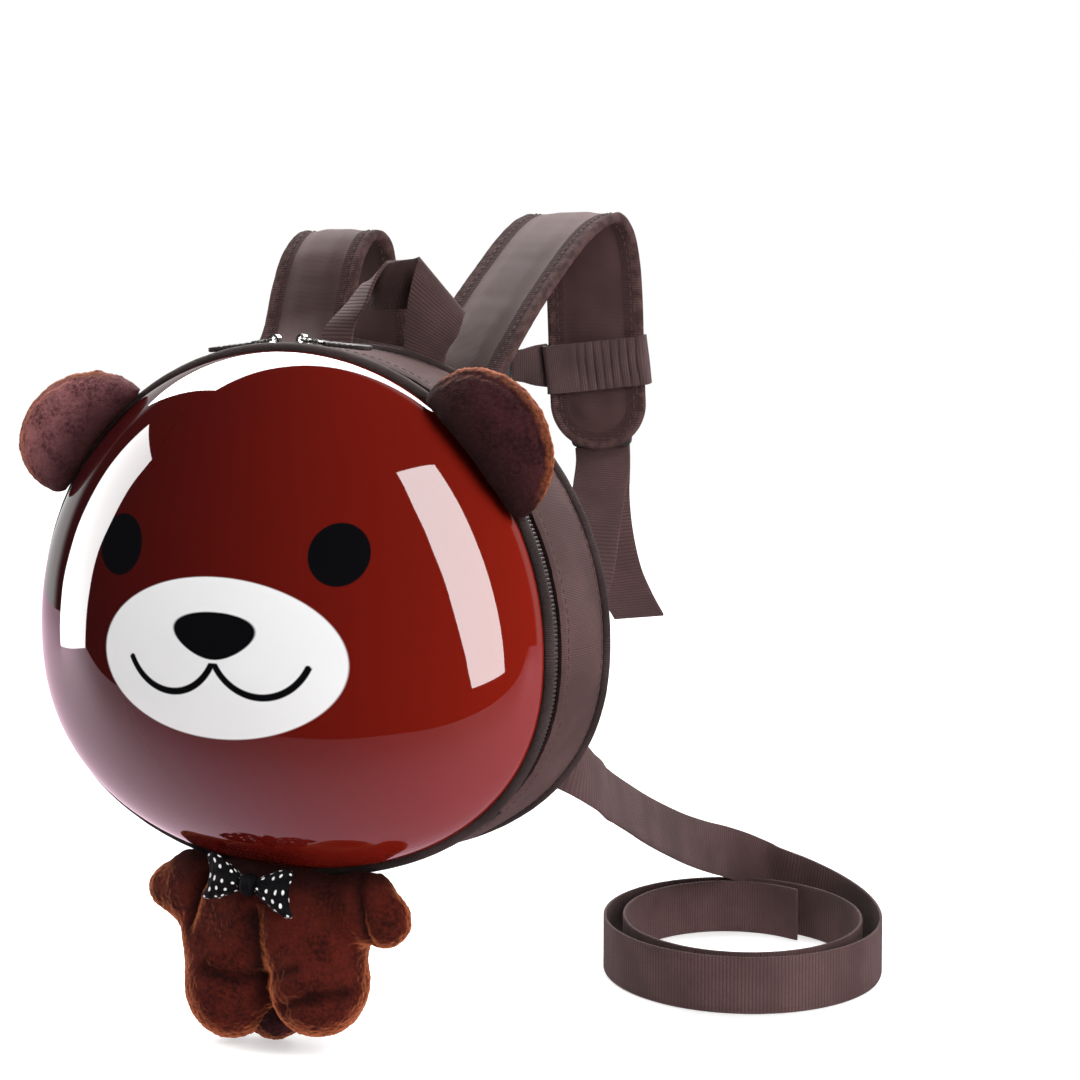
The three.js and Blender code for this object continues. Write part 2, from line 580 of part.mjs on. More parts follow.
// Columns: name, centre, half sizes, turn about Y in degrees.
const PLUSH_FORMS = [
  ['torso', [-2, 3, -117], [40, 24, 34], 0],
  ['left leg', [-25.5, -3, -143.5], [20.5, 21.5, 23.5], -6],
  ['right leg', [19, -4, -139], [22, 22, 22], 8],
  ['left arm', [-43, 0, -106], [24, 12.5, 13], -14],
  ['right arm', [42, -1, -108.5], [21, 12.5, 12.5], 38],
];
const PLUSH_TAIL = { centre: [-9.5, 3, -158], half: [11, 11, 11.5] };

const plushForms = (grow) => join(...PLUSH_FORMS.map(([, centre, half, turn]) => (
  ellipsoid([0, 0, 0], half.map((r) => r + grow), FACETS.body).rotateY(degrees(turn)).translate(...centre))));

const plushBody = () => cut(plushForms(0), bagClearance());
const plushTail = () => cut(ellipsoid(PLUSH_TAIL.centre, PLUSH_TAIL.half, FACETS.tail), plushForms(GAP));

// Sections of a bow's loop. Columns: share of its length, share of its height, share of its depth.
const BOW_SECTIONS = [[0, 0.32, 0.73], [0.35, 0.78, 0.91], [0.75, 1, 1], [1, 0.86, 0.94]];

// One loop of the bow: a soft wedge, narrow at the knot and open at its outer end.
function bowLoop(side) {
  const start = BOW.knot / 2 + GAP;
  const rings = BOW_SECTIONS.map(([along, high, deep]) => Array.from({ length: BOW.sides }, (_, k) => {
    const turn = (2 * Math.PI * k) / BOW.sides;
    const out = (BOW.depth / 2) * deep * Math.sin(turn);
    return vec(side * (start + along * BOW.loop), out, (BOW.height / 2) * high * Math.cos(turn));
  }));
  return loft(rings).translate(BOW.x, BOW.y, BOW.z);
}

function bowKnot() {
  const half = [BOW.knot, BOW.knotDeep, BOW.knotHigh].map((size) => size / 2);
  return ellipsoid([BOW.x, BOW.y, BOW.z], half, FACETS.knot);
}

// The assembly

const FINISH = {
  shell: { roughness: 0.12, metalness: 0 }, metal: { roughness: 0.3, metalness: 1 },
  plastic: { roughness: 0.5, metalness: 0 }, cloth: { roughness: 0.9, metalness: 0 },
};

const bag = new THREE.Group();

function add(name, geometry, colour, finish = FINISH.cloth) {
  const mesh = new THREE.Mesh(geometry, new THREE.MeshStandardMaterial({ color: colour, ...finish }));
  mesh.name = name;
  bag.add(mesh);
}

add('front_shell', frontShell(), COLOUR.shell, FINISH.shell);
add('front_piping', frontPiping(), COLOUR.piping);
add('zip_tape', zipTape(), COLOUR.piping);
add('zip_chain', zipChain(), COLOUR.piping, FINISH.plastic);
add('gusset', gusset(), COLOUR.cloth);
add('back_piping', backPiping(), COLOUR.piping);
add('back_panel', backPanel(), COLOUR.cloth);
add('haul_handle', webbing(HANDLE), COLOUR.webbing);
add('leash', leash(), COLOUR.webbing);
add('chest_buckle', chestBuckle(), COLOUR.plastic, FINISH.plastic);
add('plush_body', plushBody(), COLOUR.plush);
add('plush_tail', plushTail(), COLOUR.ear);
add('bow_knot', bowKnot(), COLOUR.bow);

const SIDES = [
  { side: 'left', sign: -1, strap: LEFT_STRAP, lower: LEFT_WEBBING, tail: LEFT_TAIL },
  { side: 'right', sign: 1, strap: RIGHT_STRAP, lower: RIGHT_WEBBING, tail: RIGHT_TAIL },
];
for (const { side, sign, strap, lower, tail } of SIDES) {
  add(`zip_slider_${side}`, zipSlider(side), COLOUR.metal, FINISH.metal);
  add(`zip_pull_ring_${side}`, pullRing(side), COLOUR.metal, FINISH.metal);
  add(`zip_pull_tab_${side}`, pullTab(side), COLOUR.tab, FINISH.plastic);
  add(`zip_end_${side}`, zipEnd(side), COLOUR.piping);
  add(`shoulder_strap_${side}`, shoulderStrap(strap), COLOUR.cloth);
  add(`strap_adjuster_${side}`, strapAdjuster(strap), COLOUR.plastic, FINISH.plastic);
  add(`strap_webbing_${side}`, lowerWebbing(lower, strap), COLOUR.webbing);
  add(`strap_tail_${side}`, freeTail(tail, strap), COLOUR.webbing);
  add(`chest_band_${side}`, chestBand(strap), COLOUR.webbing);
  add(`chest_strap_${side}`, chestStrap(sign), COLOUR.webbing);
  add(`ear_${side}`, ear(side), COLOUR.ear);
  add(`bow_${side}`, bowLoop(sign), COLOUR.bow);
}

// The bag hangs by the underside of its haul handle's top, which is the part's origin.
const HANG_ROW = HANDLE.reduce((top, row) => (row[2] > top[2] ? row : top));
bag.position.set(-HANG_ROW[0], -HANG_ROW[1], -(HANG_ROW[2] - WEBBING.thickness / 2));

const part = new THREE.Group();
part.add(bag);
export default part;
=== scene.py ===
# A small hard shell backpack with plush ears, a plush body and a webbing leash, dressed over the packed
# solids of its part. Sizes are in millimetres, measured from the middle of the shell's rim.

import math

import bpy
from mathutils import Matrix, Quaternion, Vector, noise


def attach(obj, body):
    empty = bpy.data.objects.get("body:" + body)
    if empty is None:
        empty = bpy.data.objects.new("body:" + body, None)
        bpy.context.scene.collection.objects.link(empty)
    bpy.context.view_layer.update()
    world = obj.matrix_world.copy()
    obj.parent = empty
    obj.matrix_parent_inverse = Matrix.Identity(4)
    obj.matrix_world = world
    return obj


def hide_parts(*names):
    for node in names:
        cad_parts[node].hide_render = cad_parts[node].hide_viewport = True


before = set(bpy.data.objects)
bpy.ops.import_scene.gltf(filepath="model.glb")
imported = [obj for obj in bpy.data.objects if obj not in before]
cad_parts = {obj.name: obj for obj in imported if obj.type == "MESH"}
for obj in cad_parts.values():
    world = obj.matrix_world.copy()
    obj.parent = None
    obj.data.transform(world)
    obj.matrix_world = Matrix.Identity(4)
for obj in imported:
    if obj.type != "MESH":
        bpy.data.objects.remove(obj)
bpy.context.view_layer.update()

# The photo's view: a camera with a long lens, a little above the bag's middle and to the right of its face.
# It looks slightly down, and the whole leash is in view.
MM = 0.001
HOOK = Vector((21, 61, 152.8))  # the underside of the handle's loop, where the part's own frame starts
CAMERA_PLACE = (606.74, -938.45, 137.47)
CAMERA_BACK = Vector((0.45992, -0.88368, 0.08715))
CAMERA_LENS = 91.6
CAMERA_SENSOR = 36.0


def bag(x, y, z):
    """A place in the bag, given in millimetres from the middle of the rim."""
    return (Vector((x, y, z)) - HOOK) * MM


bpy.ops.object.camera_add(location=bag(*CAMERA_PLACE),
                          rotation=(-CAMERA_BACK).to_track_quat("-Z", "Y").to_euler())
camera = bpy.context.object
camera.data.lens = CAMERA_LENS
camera.data.sensor_width = CAMERA_SENSOR
bpy.context.scene.camera = camera

# The leash: one length of ribbed nylon webbing, sewn to the back at one end and cut at the other.
# It runs down behind the bag and lies on its edge in a loose coil on the table.
WEBBING = {"width": 25.0, "thickness": 1.4, "edge": 0.49, "step": 2.0, "least_steps": 12, "across": 8}
WEBBING_WEAVE = {"rib": 1.8, "thread": 1.2, "depth": 0.2, "patch": 0.14}
WEAVE_RELIEF = {"rib": 0.55, "thread": 0.45, "groove": (0.05, 0.65)}
CLOTH_FUZZ = {"scale": 900, "soft": 0.2, "detail": 2, "high": 0.35}
CLOTH_WORN = {"scale": 38, "soft": 0.15}
WORN_PALER = 2.2  # how much paler the worn patches are than the others are darker
CLOTH_ROUGH = (0.78, 0.95)  # on the threads and in the grooves
WEBBING_BROWN = (0.075, 0.042, 0.041)
WEBBING_GROOVE = (0.051, 0.029, 0.029)
TABLE_LEVEL = -170.0
# Columns: x, y, z, lean of the upper edge away from the front in degrees.
LEASH_RUN = [
    (74, 57, -37, 0), (88, 57.7, -44, 0), (99.5, 62.5, -52.5, 8), (102, 82, -64, 40), (95.5, 108, -74, 54),
    (90, 140, -86, 54), (85, 168, -96, 50), (80.5, 200, -107, 44), (77.5, 230, -117, 36),
    (76.5, 256, -125, 26), (78, 276, -131, 16), (82, 288, -136, 8),
]
COIL = {"x": 110.6, "y": 212.3, "across": 67.5, "deep": 89.0, "pitch": 9.0, "turn": 27.5}
COIL_ANGLES = {"from": 73.0, "to": -672.0, "per_turn": 22}
COIL_LIFT = {"height": 16.0, "turns": 0.3}
MEASURING_STEPS = 200
NUDGE = 1e-4  # the share of a path over which its direction is taken


def coil_rows():
    """The leash's rows on the table: an oval spiral, whose first stretch still comes down."""
    turns = (COIL_ANGLES["from"] - COIL_ANGLES["to"]) / 360
    steps = round(turns * COIL_ANGLES["per_turn"])
    turn = math.radians(COIL["turn"])
    rows = []
    for i in range(steps + 1):
        turned = turns * i / steps
        angle = math.radians(COIL_ANGLES["from"] - 360 * turned)
        across = (COIL["across"] - COIL["pitch"] * turned) * math.cos(angle)
        deep = (COIL["deep"] - COIL["pitch"] * turned) * math.sin(angle)
        lift = COIL_LIFT["height"] * max(0.0, 1 - turned / COIL_LIFT["turns"]) ** 2
        rows.append((COIL["x"] + across * math.cos(turn) - deep * math.sin(turn),
                     COIL["y"] + across * math.sin(turn) + deep * math.cos(turn),
                     TABLE_LEVEL + WEBBING["width"] / 2 + lift, 0))
    return rows


def clamped(value):
    """A value kept between 0 and 1."""
    return min(1.0, max(0.0, value))


def smooth_point(rows, share):
    """The point at a share of a smooth curve through rows of x, y, z and an angle, with the angle there."""
    last = len(rows) - 1
    at = clamped(share) * last
    i = min(int(at), last - 1)
    w = at - i
    p1, p2 = Vector(rows[i][:3]), Vector(rows[i + 1][:3])
    p0 = Vector(rows[i - 1][:3]) if i > 0 else 2 * p1 - p2
    p3 = Vector(rows[i + 2][:3]) if i + 2 <= last else 2 * p2 - p1
    d0, d1, d2 = ((b - a).length ** 0.5 for a, b in ((p0, p1), (p1, p2), (p2, p3)))
    t1 = ((p1 - p0) / d0 - (p2 - p0) / (d0 + d1) + (p2 - p1) / d1) * d1
    t2 = ((p2 - p1) / d1 - (p3 - p1) / (d1 + d2) + (p3 - p2) / d2) * d1
    place = p1 + t1 * w + (3 * (p2 - p1) - 2 * t1 - t2) * w * w + (2 * (p1 - p2) + t1 + t2) * w ** 3
    return place, rows[i][3] + (rows[i + 1][3] - rows[i][3]) * w


def frames_along(rows, steps, width_of):
    """Frames on the curve through the rows: place, run, direction of the width and normal of the face."""
    frames = []
    for i in range(steps + 1):
        share = i / steps
        place, angle = smooth_point(rows, share)
        run = (smooth_point(rows, share + NUDGE)[0] - smooth_point(rows, share - NUDGE)[0]).normalized()
        wide = width_of(math.radians(angle))
        width = (wide - run * wide.dot(run)).normalized()
        frames.append((place, run, width, run.cross(width)))
    return frames


def reach_along(frames):
    """The distance in millimetres from the start of a path to each of its frames."""
    reach = [0.0]
    for here, there in zip(frames, frames[1:]):
        reach.append(reach[-1] + (there[0] - here[0]).length)
    return reach


def on_edge(lean):
    """The leash's width: upright, leaning back by an angle."""
    turn = math.radians(COIL["turn"])
    return Vector((-math.sin(turn) * math.sin(lean), math.cos(turn) * math.sin(lean), math.cos(lean)))


def primitive(add, **settings):
    """A new primitive, added with everything else deselected."""
    bpy.ops.object.select_all(action="DESELECT")
    add(**settings)
    return bpy.context.object


def laid_grid(name, along, across, place):
    """A grid of cloth laid on a surface: place(u, v) gives the point at a share along and a share across."""
    piece = primitive(bpy.ops.mesh.primitive_grid_add, x_subdivisions=along, y_subdivisions=across, size=1)
    piece.name = name
    for vertex in piece.data.vertices:
        vertex.co = place(vertex.co.x + 0.5, vertex.co.y + 0.5)
    return piece


def measure_cloth(piece, length, width):
    """Sets the piece's UV map to metres along and across its cloth."""
    for corner in piece.data.uv_layers.active.data:
        corner.uv = (corner.uv[0] * length * MM, corner.uv[1] * width * MM)


def picked(piece):
    """Makes the piece the only one selected, so that operators act on it alone."""
    bpy.ops.object.select_all(action="DESELECT")
    piece.select_set(True)
    bpy.context.view_layer.objects.active = piece


def worked(piece, kind, **settings):
    """Adds a modifier with its settings to the piece and applies it."""
    picked(piece)
    modifier = piece.modifiers.new(kind.lower(), kind)
    for key, value in settings.items():
        setattr(modifier, key, value)
    bpy.ops.object.modifier_apply(modifier=modifier.name)


def rounded(piece, angle=45):
    """Smooth shading, with edges sharper than an angle in degrees kept."""
    picked(piece)
    bpy.ops.object.shade_smooth_by_angle(angle=math.radians(angle))


def as_webbing(piece):
    """Gives laid webbing its thickness and its soft edges."""
    worked(piece, "SOLIDIFY", thickness=WEBBING["thickness"] * MM, offset=0)
    worked(piece, "BEVEL", width=WEBBING["edge"] * MM, segments=2, limit_method="ANGLE")
    rounded(piece)


def strip(name, rows, width_of, widths=(WEBBING["width"], WEBBING["width"])):
    """A length of webbing along a path, from one width to another. Returns it with its frames."""
    length = reach_along(frames_along(rows, MEASURING_STEPS, width_of))[-1]
    steps = max(WEBBING["least_steps"], round(length / WEBBING["step"]))
    frames = frames_along(rows, steps, width_of)

    def place(u, v):
        middle, _, side, _ = frames[round(u * steps)]
        here = widths[0] + (widths[1] - widths[0]) * u
        return bag(*(middle + side * (v - 0.5) * here))

    piece = laid_grid(name, steps, WEBBING["across"], place)
    measure_cloth(piece, length, widths[0])
    as_webbing(piece)
    return piece, frames


class Value:
    """A shader node's output, which can be worked with like a number."""

    def __init__(self, tree, socket):
        self.tree = tree
        self.socket = socket

    def math(self, operation, *others):
        """The output of a Math node that is fed with this value and others."""
        node = self.tree.nodes.new("ShaderNodeMath")
        node.operation = operation
        for socket, value in zip(node.inputs, (self, *others)):
            feed(socket, value)
        return Value(self.tree, node.outputs[0])

    def __add__(self, other):
        return self.math("ADD", other)

    def __sub__(self, other):
        return self.math("SUBTRACT", other)

    def __mul__(self, other):
        return self.math("MULTIPLY", other)

    def __truediv__(self, other):
        return self.math("DIVIDE", other)


def feed(socket, value):
    """Sets a node's input to a number or a colour, or links another node's output to it."""
    if isinstance(value, Value):
        value.tree.links.new(value.socket, socket)
    else:
        socket.default_value = (*value, 1.0) if isinstance(value, tuple) else value


def blend(share, first, second):
    """A colour between two others."""
    node = share.tree.nodes.new("ShaderNodeMix")
    node.data_type = "RGBA"
    for socket, value in zip((node.inputs[0], node.inputs[6], node.inputs[7]), (share, first, second)):
        feed(socket, value)
    return Value(share.tree, node.outputs[2])


def spread(value, low, high, new_low=0.0, new_high=1.0):
    """A value's range moved smoothly to another one."""
    node = value.tree.nodes.new("ShaderNodeMapRange")
    node.interpolation_type = "SMOOTHSTEP"
    for socket, number in zip(node.inputs, (value, low, high, new_low, new_high)):
        feed(socket, number)
    return Value(value.tree, node.outputs[0])


def mottle(tree, scale, detail=3.0):
    """A noise over the piece, at a scale in patches for each metre."""
    node = tree.nodes.new("ShaderNodeTexNoise")
    feed(node.inputs["Scale"], scale)
    feed(node.inputs["Detail"], detail)
    tree.links.new(tree.nodes.new("ShaderNodeTexCoord").outputs["Object"], node.inputs["Vector"])
    return Value(tree, node.outputs[0])


def patches(tree, scale, soft, detail=3.0, low=0.0, high=1.0):
    """Patches of two values over the piece, with soft edges between them."""
    return spread(mottle(tree, scale, detail), 0.5 - soft, 0.5 + soft, low, high)


def split(tree, node, output):
    """The x, y and z of a coordinate node's output."""
    parts = tree.nodes.new("ShaderNodeSeparateXYZ")
    tree.links.new(tree.nodes.new(node).outputs[output], parts.inputs[0])
    return [Value(tree, socket) for socket in parts.outputs]


def set_inputs(tree, **inputs):
    """Feeds the inputs of a material's shader, which are named with underscores in place of spaces."""
    for key, value in inputs.items():
        feed(tree.nodes["Principled BSDF"].inputs[key.replace("_", " ")], value)


def new_finish(name, **inputs):
    """A material with its shader's plain settings, and its node tree."""
    material = bpy.data.materials.new(name)
    material.use_nodes = True
    set_inputs(material.node_tree, **inputs)
    return material, material.node_tree


def relief(height, depth):
    """A bump on the material from a height between 0 and 1, with its depth in millimetres."""
    node = height.tree.nodes.new("ShaderNodeBump")
    feed(node.inputs["Distance"], depth * MM)
    feed(node.inputs["Height"], height)
    set_inputs(height.tree, Normal=Value(height.tree, node.outputs["Normal"]))


def make_weave_group():
    """Threads of a woven cloth: ribs along, crossed by finer threads that change places from rib to rib."""
    group = bpy.data.node_groups.new("woven_threads", "ShaderNodeTree")
    for name in ("Along", "Across", "Rib", "Thread"):
        group.interface.new_socket(name=name, in_out="INPUT", socket_type="NodeSocketFloat")
    for name in ("Height", "Groove"):
        group.interface.new_socket(name=name, in_out="OUTPUT", socket_type="NodeSocketFloat")
    given = group.nodes.new("NodeGroupInput").outputs
    result = group.nodes.new("NodeGroupOutput").inputs
    along, across, rib, thread = (Value(group, given[name]) for name in ("Along", "Across", "Rib", "Thread"))
    ribs = along / rib
    threads = across / thread + ribs.math("FLOOR") * 0.5
    rib_wave, thread_wave = ((turns * math.pi).math("SINE").math("ABSOLUTE") for turns in (ribs, threads))
    height = rib_wave * (thread_wave * WEAVE_RELIEF["thread"] + WEAVE_RELIEF["rib"])
    feed(result["Height"], height)
    # Groove is 1 in the low places between the threads; the finishes paint it darker, as painted shade.
    feed(result["Groove"], spread(height, *WEAVE_RELIEF["groove"], 1.0, 0.0))
    return group


WEAVE = make_weave_group()


def woven(tree, rib, thread, places=None):
    """The weave's height and groove from two pitches in millimetres, on places or a UV map in metres."""
    along, across = places or split(tree, "ShaderNodeUVMap", "UV")[:2]
    node = tree.nodes.new("ShaderNodeGroup")
    node.node_tree = WEAVE
    for socket, value in zip(node.inputs, (along, across, rib * MM, thread * MM)):
        feed(socket, value)
    return Value(tree, node.outputs["Height"]), Value(tree, node.outputs["Groove"])


def shaded(colour, share):
    """A colour made darker or paler."""
    return tuple(share * part for part in colour)


def cloth_finish(name, colour, groove_colour, rib, thread, depth, patch=0.25):
    """A dull woven cloth with worn patches, from its colours, its pitches and its threads' depth."""
    material, tree = new_finish(name, Specular_IOR_Level=0.06, Sheen_Weight=0.01, Sheen_Roughness=0.5)
    height, groove = woven(tree, rib, thread)
    dull, worn = shaded(colour, 1 - patch), shaded(colour, 1 + WORN_PALER * patch)
    fuzz = blend(patches(tree, **CLOTH_FUZZ), blend(patches(tree, **CLOTH_WORN), dull, worn), dull)
    # The grooves between the threads are painted darker, as painted shade.
    set_inputs(tree, Base_Color=blend(groove, fuzz, groove_colour),
               Roughness=spread(groove, 0.0, 1.0, *CLOTH_ROUGH))
    relief(height, depth)
    return material


def fitted(piece, material, slot, *nodes, body="bag"):
    """Gives a finished piece its material and fixes it on its body in place of its plain solids."""
    piece.data.materials.clear()
    piece.data.materials.append(material)
    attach(piece, body)
    if nodes:
        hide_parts(*nodes)


webbing_cloth = cloth_finish("ribbed_webbing", WEBBING_BROWN, WEBBING_GROOVE, **WEBBING_WEAVE)
leash, leash_frames = strip("leash_webbing", LEASH_RUN + coil_rows(), on_edge)
leash_path = [bag(*leash_frame[0]) for leash_frame in leash_frames]
fitted(leash, webbing_cloth, "webbing", "leash")

# The studio: a pale table that the bag hangs just above and the leash lies on, under soft boxes.
# The glossy shell mirrors the boxes as pale strips near its edges and the table as a band below, whose purple
# pink tint is a painted reflection.
TABLE = {"front": -262.0, "back": 3200.0, "side": 2600.0, "drop": 0.3}
TABLE_WHITE = (0.8, 0.8, 0.8)
# The table is painted by ray: the camera sees it white, other rays see a darker apron in front, and glossy
# rays see it purple pink, a painted reflection.
TABLE_PAINTED_REFLECTION = (0.74, 0.48, 0.6)
TABLE_APRON = (0.25, 0.165, 0.2)  # the front of the table, as the gloss shows it
TABLE_GLOW = {"apron": 0.05, "near": 0.45, "far": 1.0}
GLOW_WHITE = (1.0, 1.0, 1.0)
GLOW_PAINTED_REFLECTION = (0.92, 0.6, 0.75)
# Metres in the part's own frame: from front to back for the first two, and from the hook for the third.
APRON_FADE = (-0.33, -0.12)
GLOW_FADE = (-0.28, -0.1)
FAR_FADE = (0.5, 1.6)
ROOM_DARK = (0.025, 0.025, 0.025)
ROOM_WHITE = (1.0, 1.0, 1.0)
BACKDROP_FADE = (0.14, 0.26)  # how far back a direction points where the white backdrop begins
# Columns: name, degrees from the front to the bag's right, degrees up, degrees of roll, distance, width
# and height in metres, watts, and whether the box lights the bag or only shows in its gloss.
SOFT_BOXES = [
    ("right_key", 62, 24, 0, 1.3, 0.6, 1.2, 22, "lights"),
    ("left_fill", -66, 34, 0, 1.4, 0.4, 0.9, 14, "lights"),
    ("top_light", -152, 55, 0, 1.6, 1.5, 0.8, 7, "lights"),
    ("right_strip", 43, 19, 16, 1.3, 0.48, 1.65, 37, "gloss"),
    ("left_strip", -83, 10, -11, 1.2, 0.34, 0.9, 11, "gloss"),
    ("top_strip", -152.5, 57, 0, 1.45, 2.6, 0.93, 185, "gloss"),
]


def far_from(x, z):
    """The length of a flat vector."""
    return (x * x + z * z).math("SQRT")


table = primitive(bpy.ops.mesh.primitive_plane_add, size=2)
table.name = "studio_table"
for corner in table.data.vertices:
    deep = TABLE["back"] if corner.co.y > 0 else TABLE["front"]
    corner.co = bag(TABLE["side"] * corner.co.x, deep, TABLE_LEVEL - TABLE["drop"])
table_white, table_tree = new_finish("table_white", Roughness=0.7)
table_x, table_y, table_z = split(table_tree, "ShaderNodeTexCoord", "Object")
table_rays = table_tree.nodes.new("ShaderNodeLightPath").outputs
table_seen = Value(table_tree, table_rays["Is Camera Ray"])
table_glossed = Value(table_tree, table_rays["Is Glossy Ray"])
table_shown = spread(table_y, *APRON_FADE).math("MAXIMUM", table_seen)
near_glow = spread(table_y, *GLOW_FADE, TABLE_GLOW["apron"], TABLE_GLOW["near"])
near_glow = near_glow.math("MAXIMUM", table_seen * TABLE_GLOW["near"])
table_reach = far_from(far_from(table_x, table_y), table_z)
far_glow = spread(table_reach, *FAR_FADE, 0.0, TABLE_GLOW["far"] - TABLE_GLOW["near"])
# Painted reflection: glossy rays see the table purple pink and the camera sees it white, with a glow that
# differs by ray as well.
set_inputs(table_tree,
           Base_Color=blend(table_shown, TABLE_APRON, blend(table_glossed, TABLE_WHITE, TABLE_PAINTED_REFLECTION)),
           Emission_Color=blend(table_glossed, GLOW_WHITE, GLOW_PAINTED_REFLECTION),
           Emission_Strength=near_glow + far_glow)
table.data.materials.append(table_white)

for box_name, azimuth, rise, roll, distance, wide, high, watts, use in SOFT_BOXES:
    turn, up = math.radians(azimuth), math.radians(rise)
    away = Vector((math.sin(turn) * math.cos(up), -math.cos(turn) * math.cos(up), math.sin(up)))
    facing = away.to_track_quat("Z", "Y") @ Quaternion((0, 0, 1), math.radians(roll))
    bpy.ops.object.light_add(type="AREA", location=bag(0, 0, 0) + away * distance, rotation=facing.to_euler())
    lamp = bpy.context.object
    lamp.name = box_name
    lamp.data.shape = "RECTANGLE"
    lamp.data.size = wide
    lamp.data.size_y = high
    lamp.data.energy = watts
    lamp.visible_camera = False
    lamp.visible_diffuse = use == "lights"
    lamp.visible_glossy = use == "gloss"

room = bpy.data.worlds.new("studio_room")
room.use_nodes = True
bpy.context.scene.world = room
room_tree = room.node_tree
room_seen = Value(room_tree, room_tree.nodes.new("ShaderNodeLightPath").outputs["Is Camera Ray"])
_, room_back, _ = split(room_tree, "ShaderNodeTexCoord", "Generated")
white_share = spread(room_back, *BACKDROP_FADE).math("MAXIMUM", room_seen)
feed(room_tree.nodes["Background"].inputs["Color"], blend(white_share, ROOM_DARK, ROOM_WHITE))
bpy.context.scene.view_settings.view_transform = "Standard"

# The front shell: one moulded dome of red-brown plastic under a clear gloss coat, with an animal's face
# printed on it. Its edge is held behind the piping all round.
HEAD = {"half_width": 120.0, "top": 117.0, "bottom": 94.5, "side": 2.03, "crown": 2.0, "chin": 2.35}
SHELL = {"depth": 50.5, "wall": 1.6, "rise_from": 1.87, "rise_to": 1.52, "around": 240, "rings": 64}
SHELL_WAVE = {"depth": 0.06, "size": 17.0, "fade": 8}  # the wall isn't quite even, which shows in its gloss
# The shell's red is painted darker towards its left edge, about six times in its red there, as painted shade.
SHELL_RED = (0.172, 0.0085, 0.0038)
SHELL_PAINTED_SHADE = (0.028, 0.0028, 0.0034)
SHELL_LEFT_SHADE_FADE = {"from": -95.0, "to": 155.0, "patch": 40.0, "scale": 9}
SHELL_SCUFF = {"scale": 60, "soft": 0.2, "low": 0.3, "high": 0.4}
PRINT_WHITE = (0.93, 0.93, 0.93)
PRINT_BLACK = (0.003, 0.003, 0.004)
PRINT_EDGE = 0.35  # how soft the print's outline is
EYES = {"x": 51.3, "z": 39.5, "radius": 12.2}
MUZZLE = {"z": -2.8, "half_width": 57.2, "half_height": 32.1}
NOSE = {"z": 6.3, "half_width": 18.6, "half_height": 9.4, "taper": 0.28}
MOUTH = {"x": 20.9, "z": 6.1, "radius": 23.05, "stroke": 1.45, "below": -4.4, "end_x": 41.2, "end_z": -4.8}
MERGED = 1e-6  # metres between points that are one


def head_half(up):
    """The height and the bend of the head's upper or lower half."""
    return (HEAD["top"], HEAD["crown"]) if up >= 0 else (HEAD["bottom"], HEAD["chin"])


def head_outline(angle, grow=0.0, share=1.0):
    """A point of the head's outline, grown by millimetres or shrunk to a share: its x and z."""
    across, up = share * math.cos(angle), share * math.sin(angle)
    height, bend = head_half(up)
    x = (HEAD["half_width"] + grow) * math.copysign(abs(across) ** (2 / HEAD["side"]), across)
    return x, (height + grow) * math.copysign(abs(up) ** (2 / bend), up)


def welded(piece):
    """Joins the piece's meeting edges and turns its faces outwards."""
    picked(piece)
    bpy.ops.object.mode_set(mode="EDIT")
    bpy.ops.mesh.select_all(action="SELECT")
    bpy.ops.mesh.remove_doubles(threshold=MERGED)
    bpy.ops.mesh.normals_make_consistent(inside=False)
    bpy.ops.object.mode_set(mode="OBJECT")


def shell_rise(share):
    """How far the dome stands out of its rim at a share of the way from its middle to the rim."""
    return SHELL["depth"] * max(0.0, 1 - share ** SHELL["rise_from"]) ** (1 / SHELL["rise_to"])


def shell_place(u, v):
    """A point of the dome's outer face."""
    share = math.sin(v * math.pi / 2)
    x, z = head_outline(2 * math.pi * u, 0, share)
    wave = noise.noise(Vector((x, 0, z)) / SHELL_WAVE["size"]) * (1 - share ** SHELL_WAVE["fade"])
    return bag(x, -shell_rise(share) - SHELL_WAVE["depth"] * wave, z)


def print_place(tree):
    """The print's x and z on the shell in millimetres."""
    x, _, z = split(tree, "ShaderNodeTexCoord", "Object")
    return x * (1 / MM) + HOOK.x, z * (1 / MM) + HOOK.z


def within(distance, limit, soft=PRINT_EDGE):
    """A mask for distances inside a limit."""
    return spread(distance, limit - soft, limit + soft, 1.0, 0.0)


def face_print(tree):
    """Masks for the print's white and black parts."""
    x, z = print_place(tree)
    side = x.math("ABSOLUTE")
    eyes = within(far_from(side - EYES["x"], z - EYES["z"]), EYES["radius"])
    from_muzzle = far_from(x / MUZZLE["half_width"], (z - MUZZLE["z"]) / MUZZLE["half_height"])
    level = (z - NOSE["z"]) / NOSE["half_height"]
    nose_half = level * (NOSE["taper"] * NOSE["half_width"]) + NOSE["half_width"]
    nose = within(far_from(x / nose_half, level), 1.0, PRINT_EDGE / NOSE["half_height"])
    off_arc = (far_from(side - MOUTH["x"], z - MOUTH["z"]) - MOUTH["radius"]).math("ABSOLUTE")
    mouth = within(off_arc, MOUTH["stroke"]) * within(z, MOUTH["below"])
    mouth_ends = within(far_from(side - MOUTH["end_x"], z - MOUTH["end_z"]), MOUTH["stroke"])
    black = eyes.math("MAXIMUM", nose).math("MAXIMUM", mouth).math("MAXIMUM", mouth_ends)
    return within(from_muzzle, 1.0, PRINT_EDGE / MUZZLE["half_height"]), black


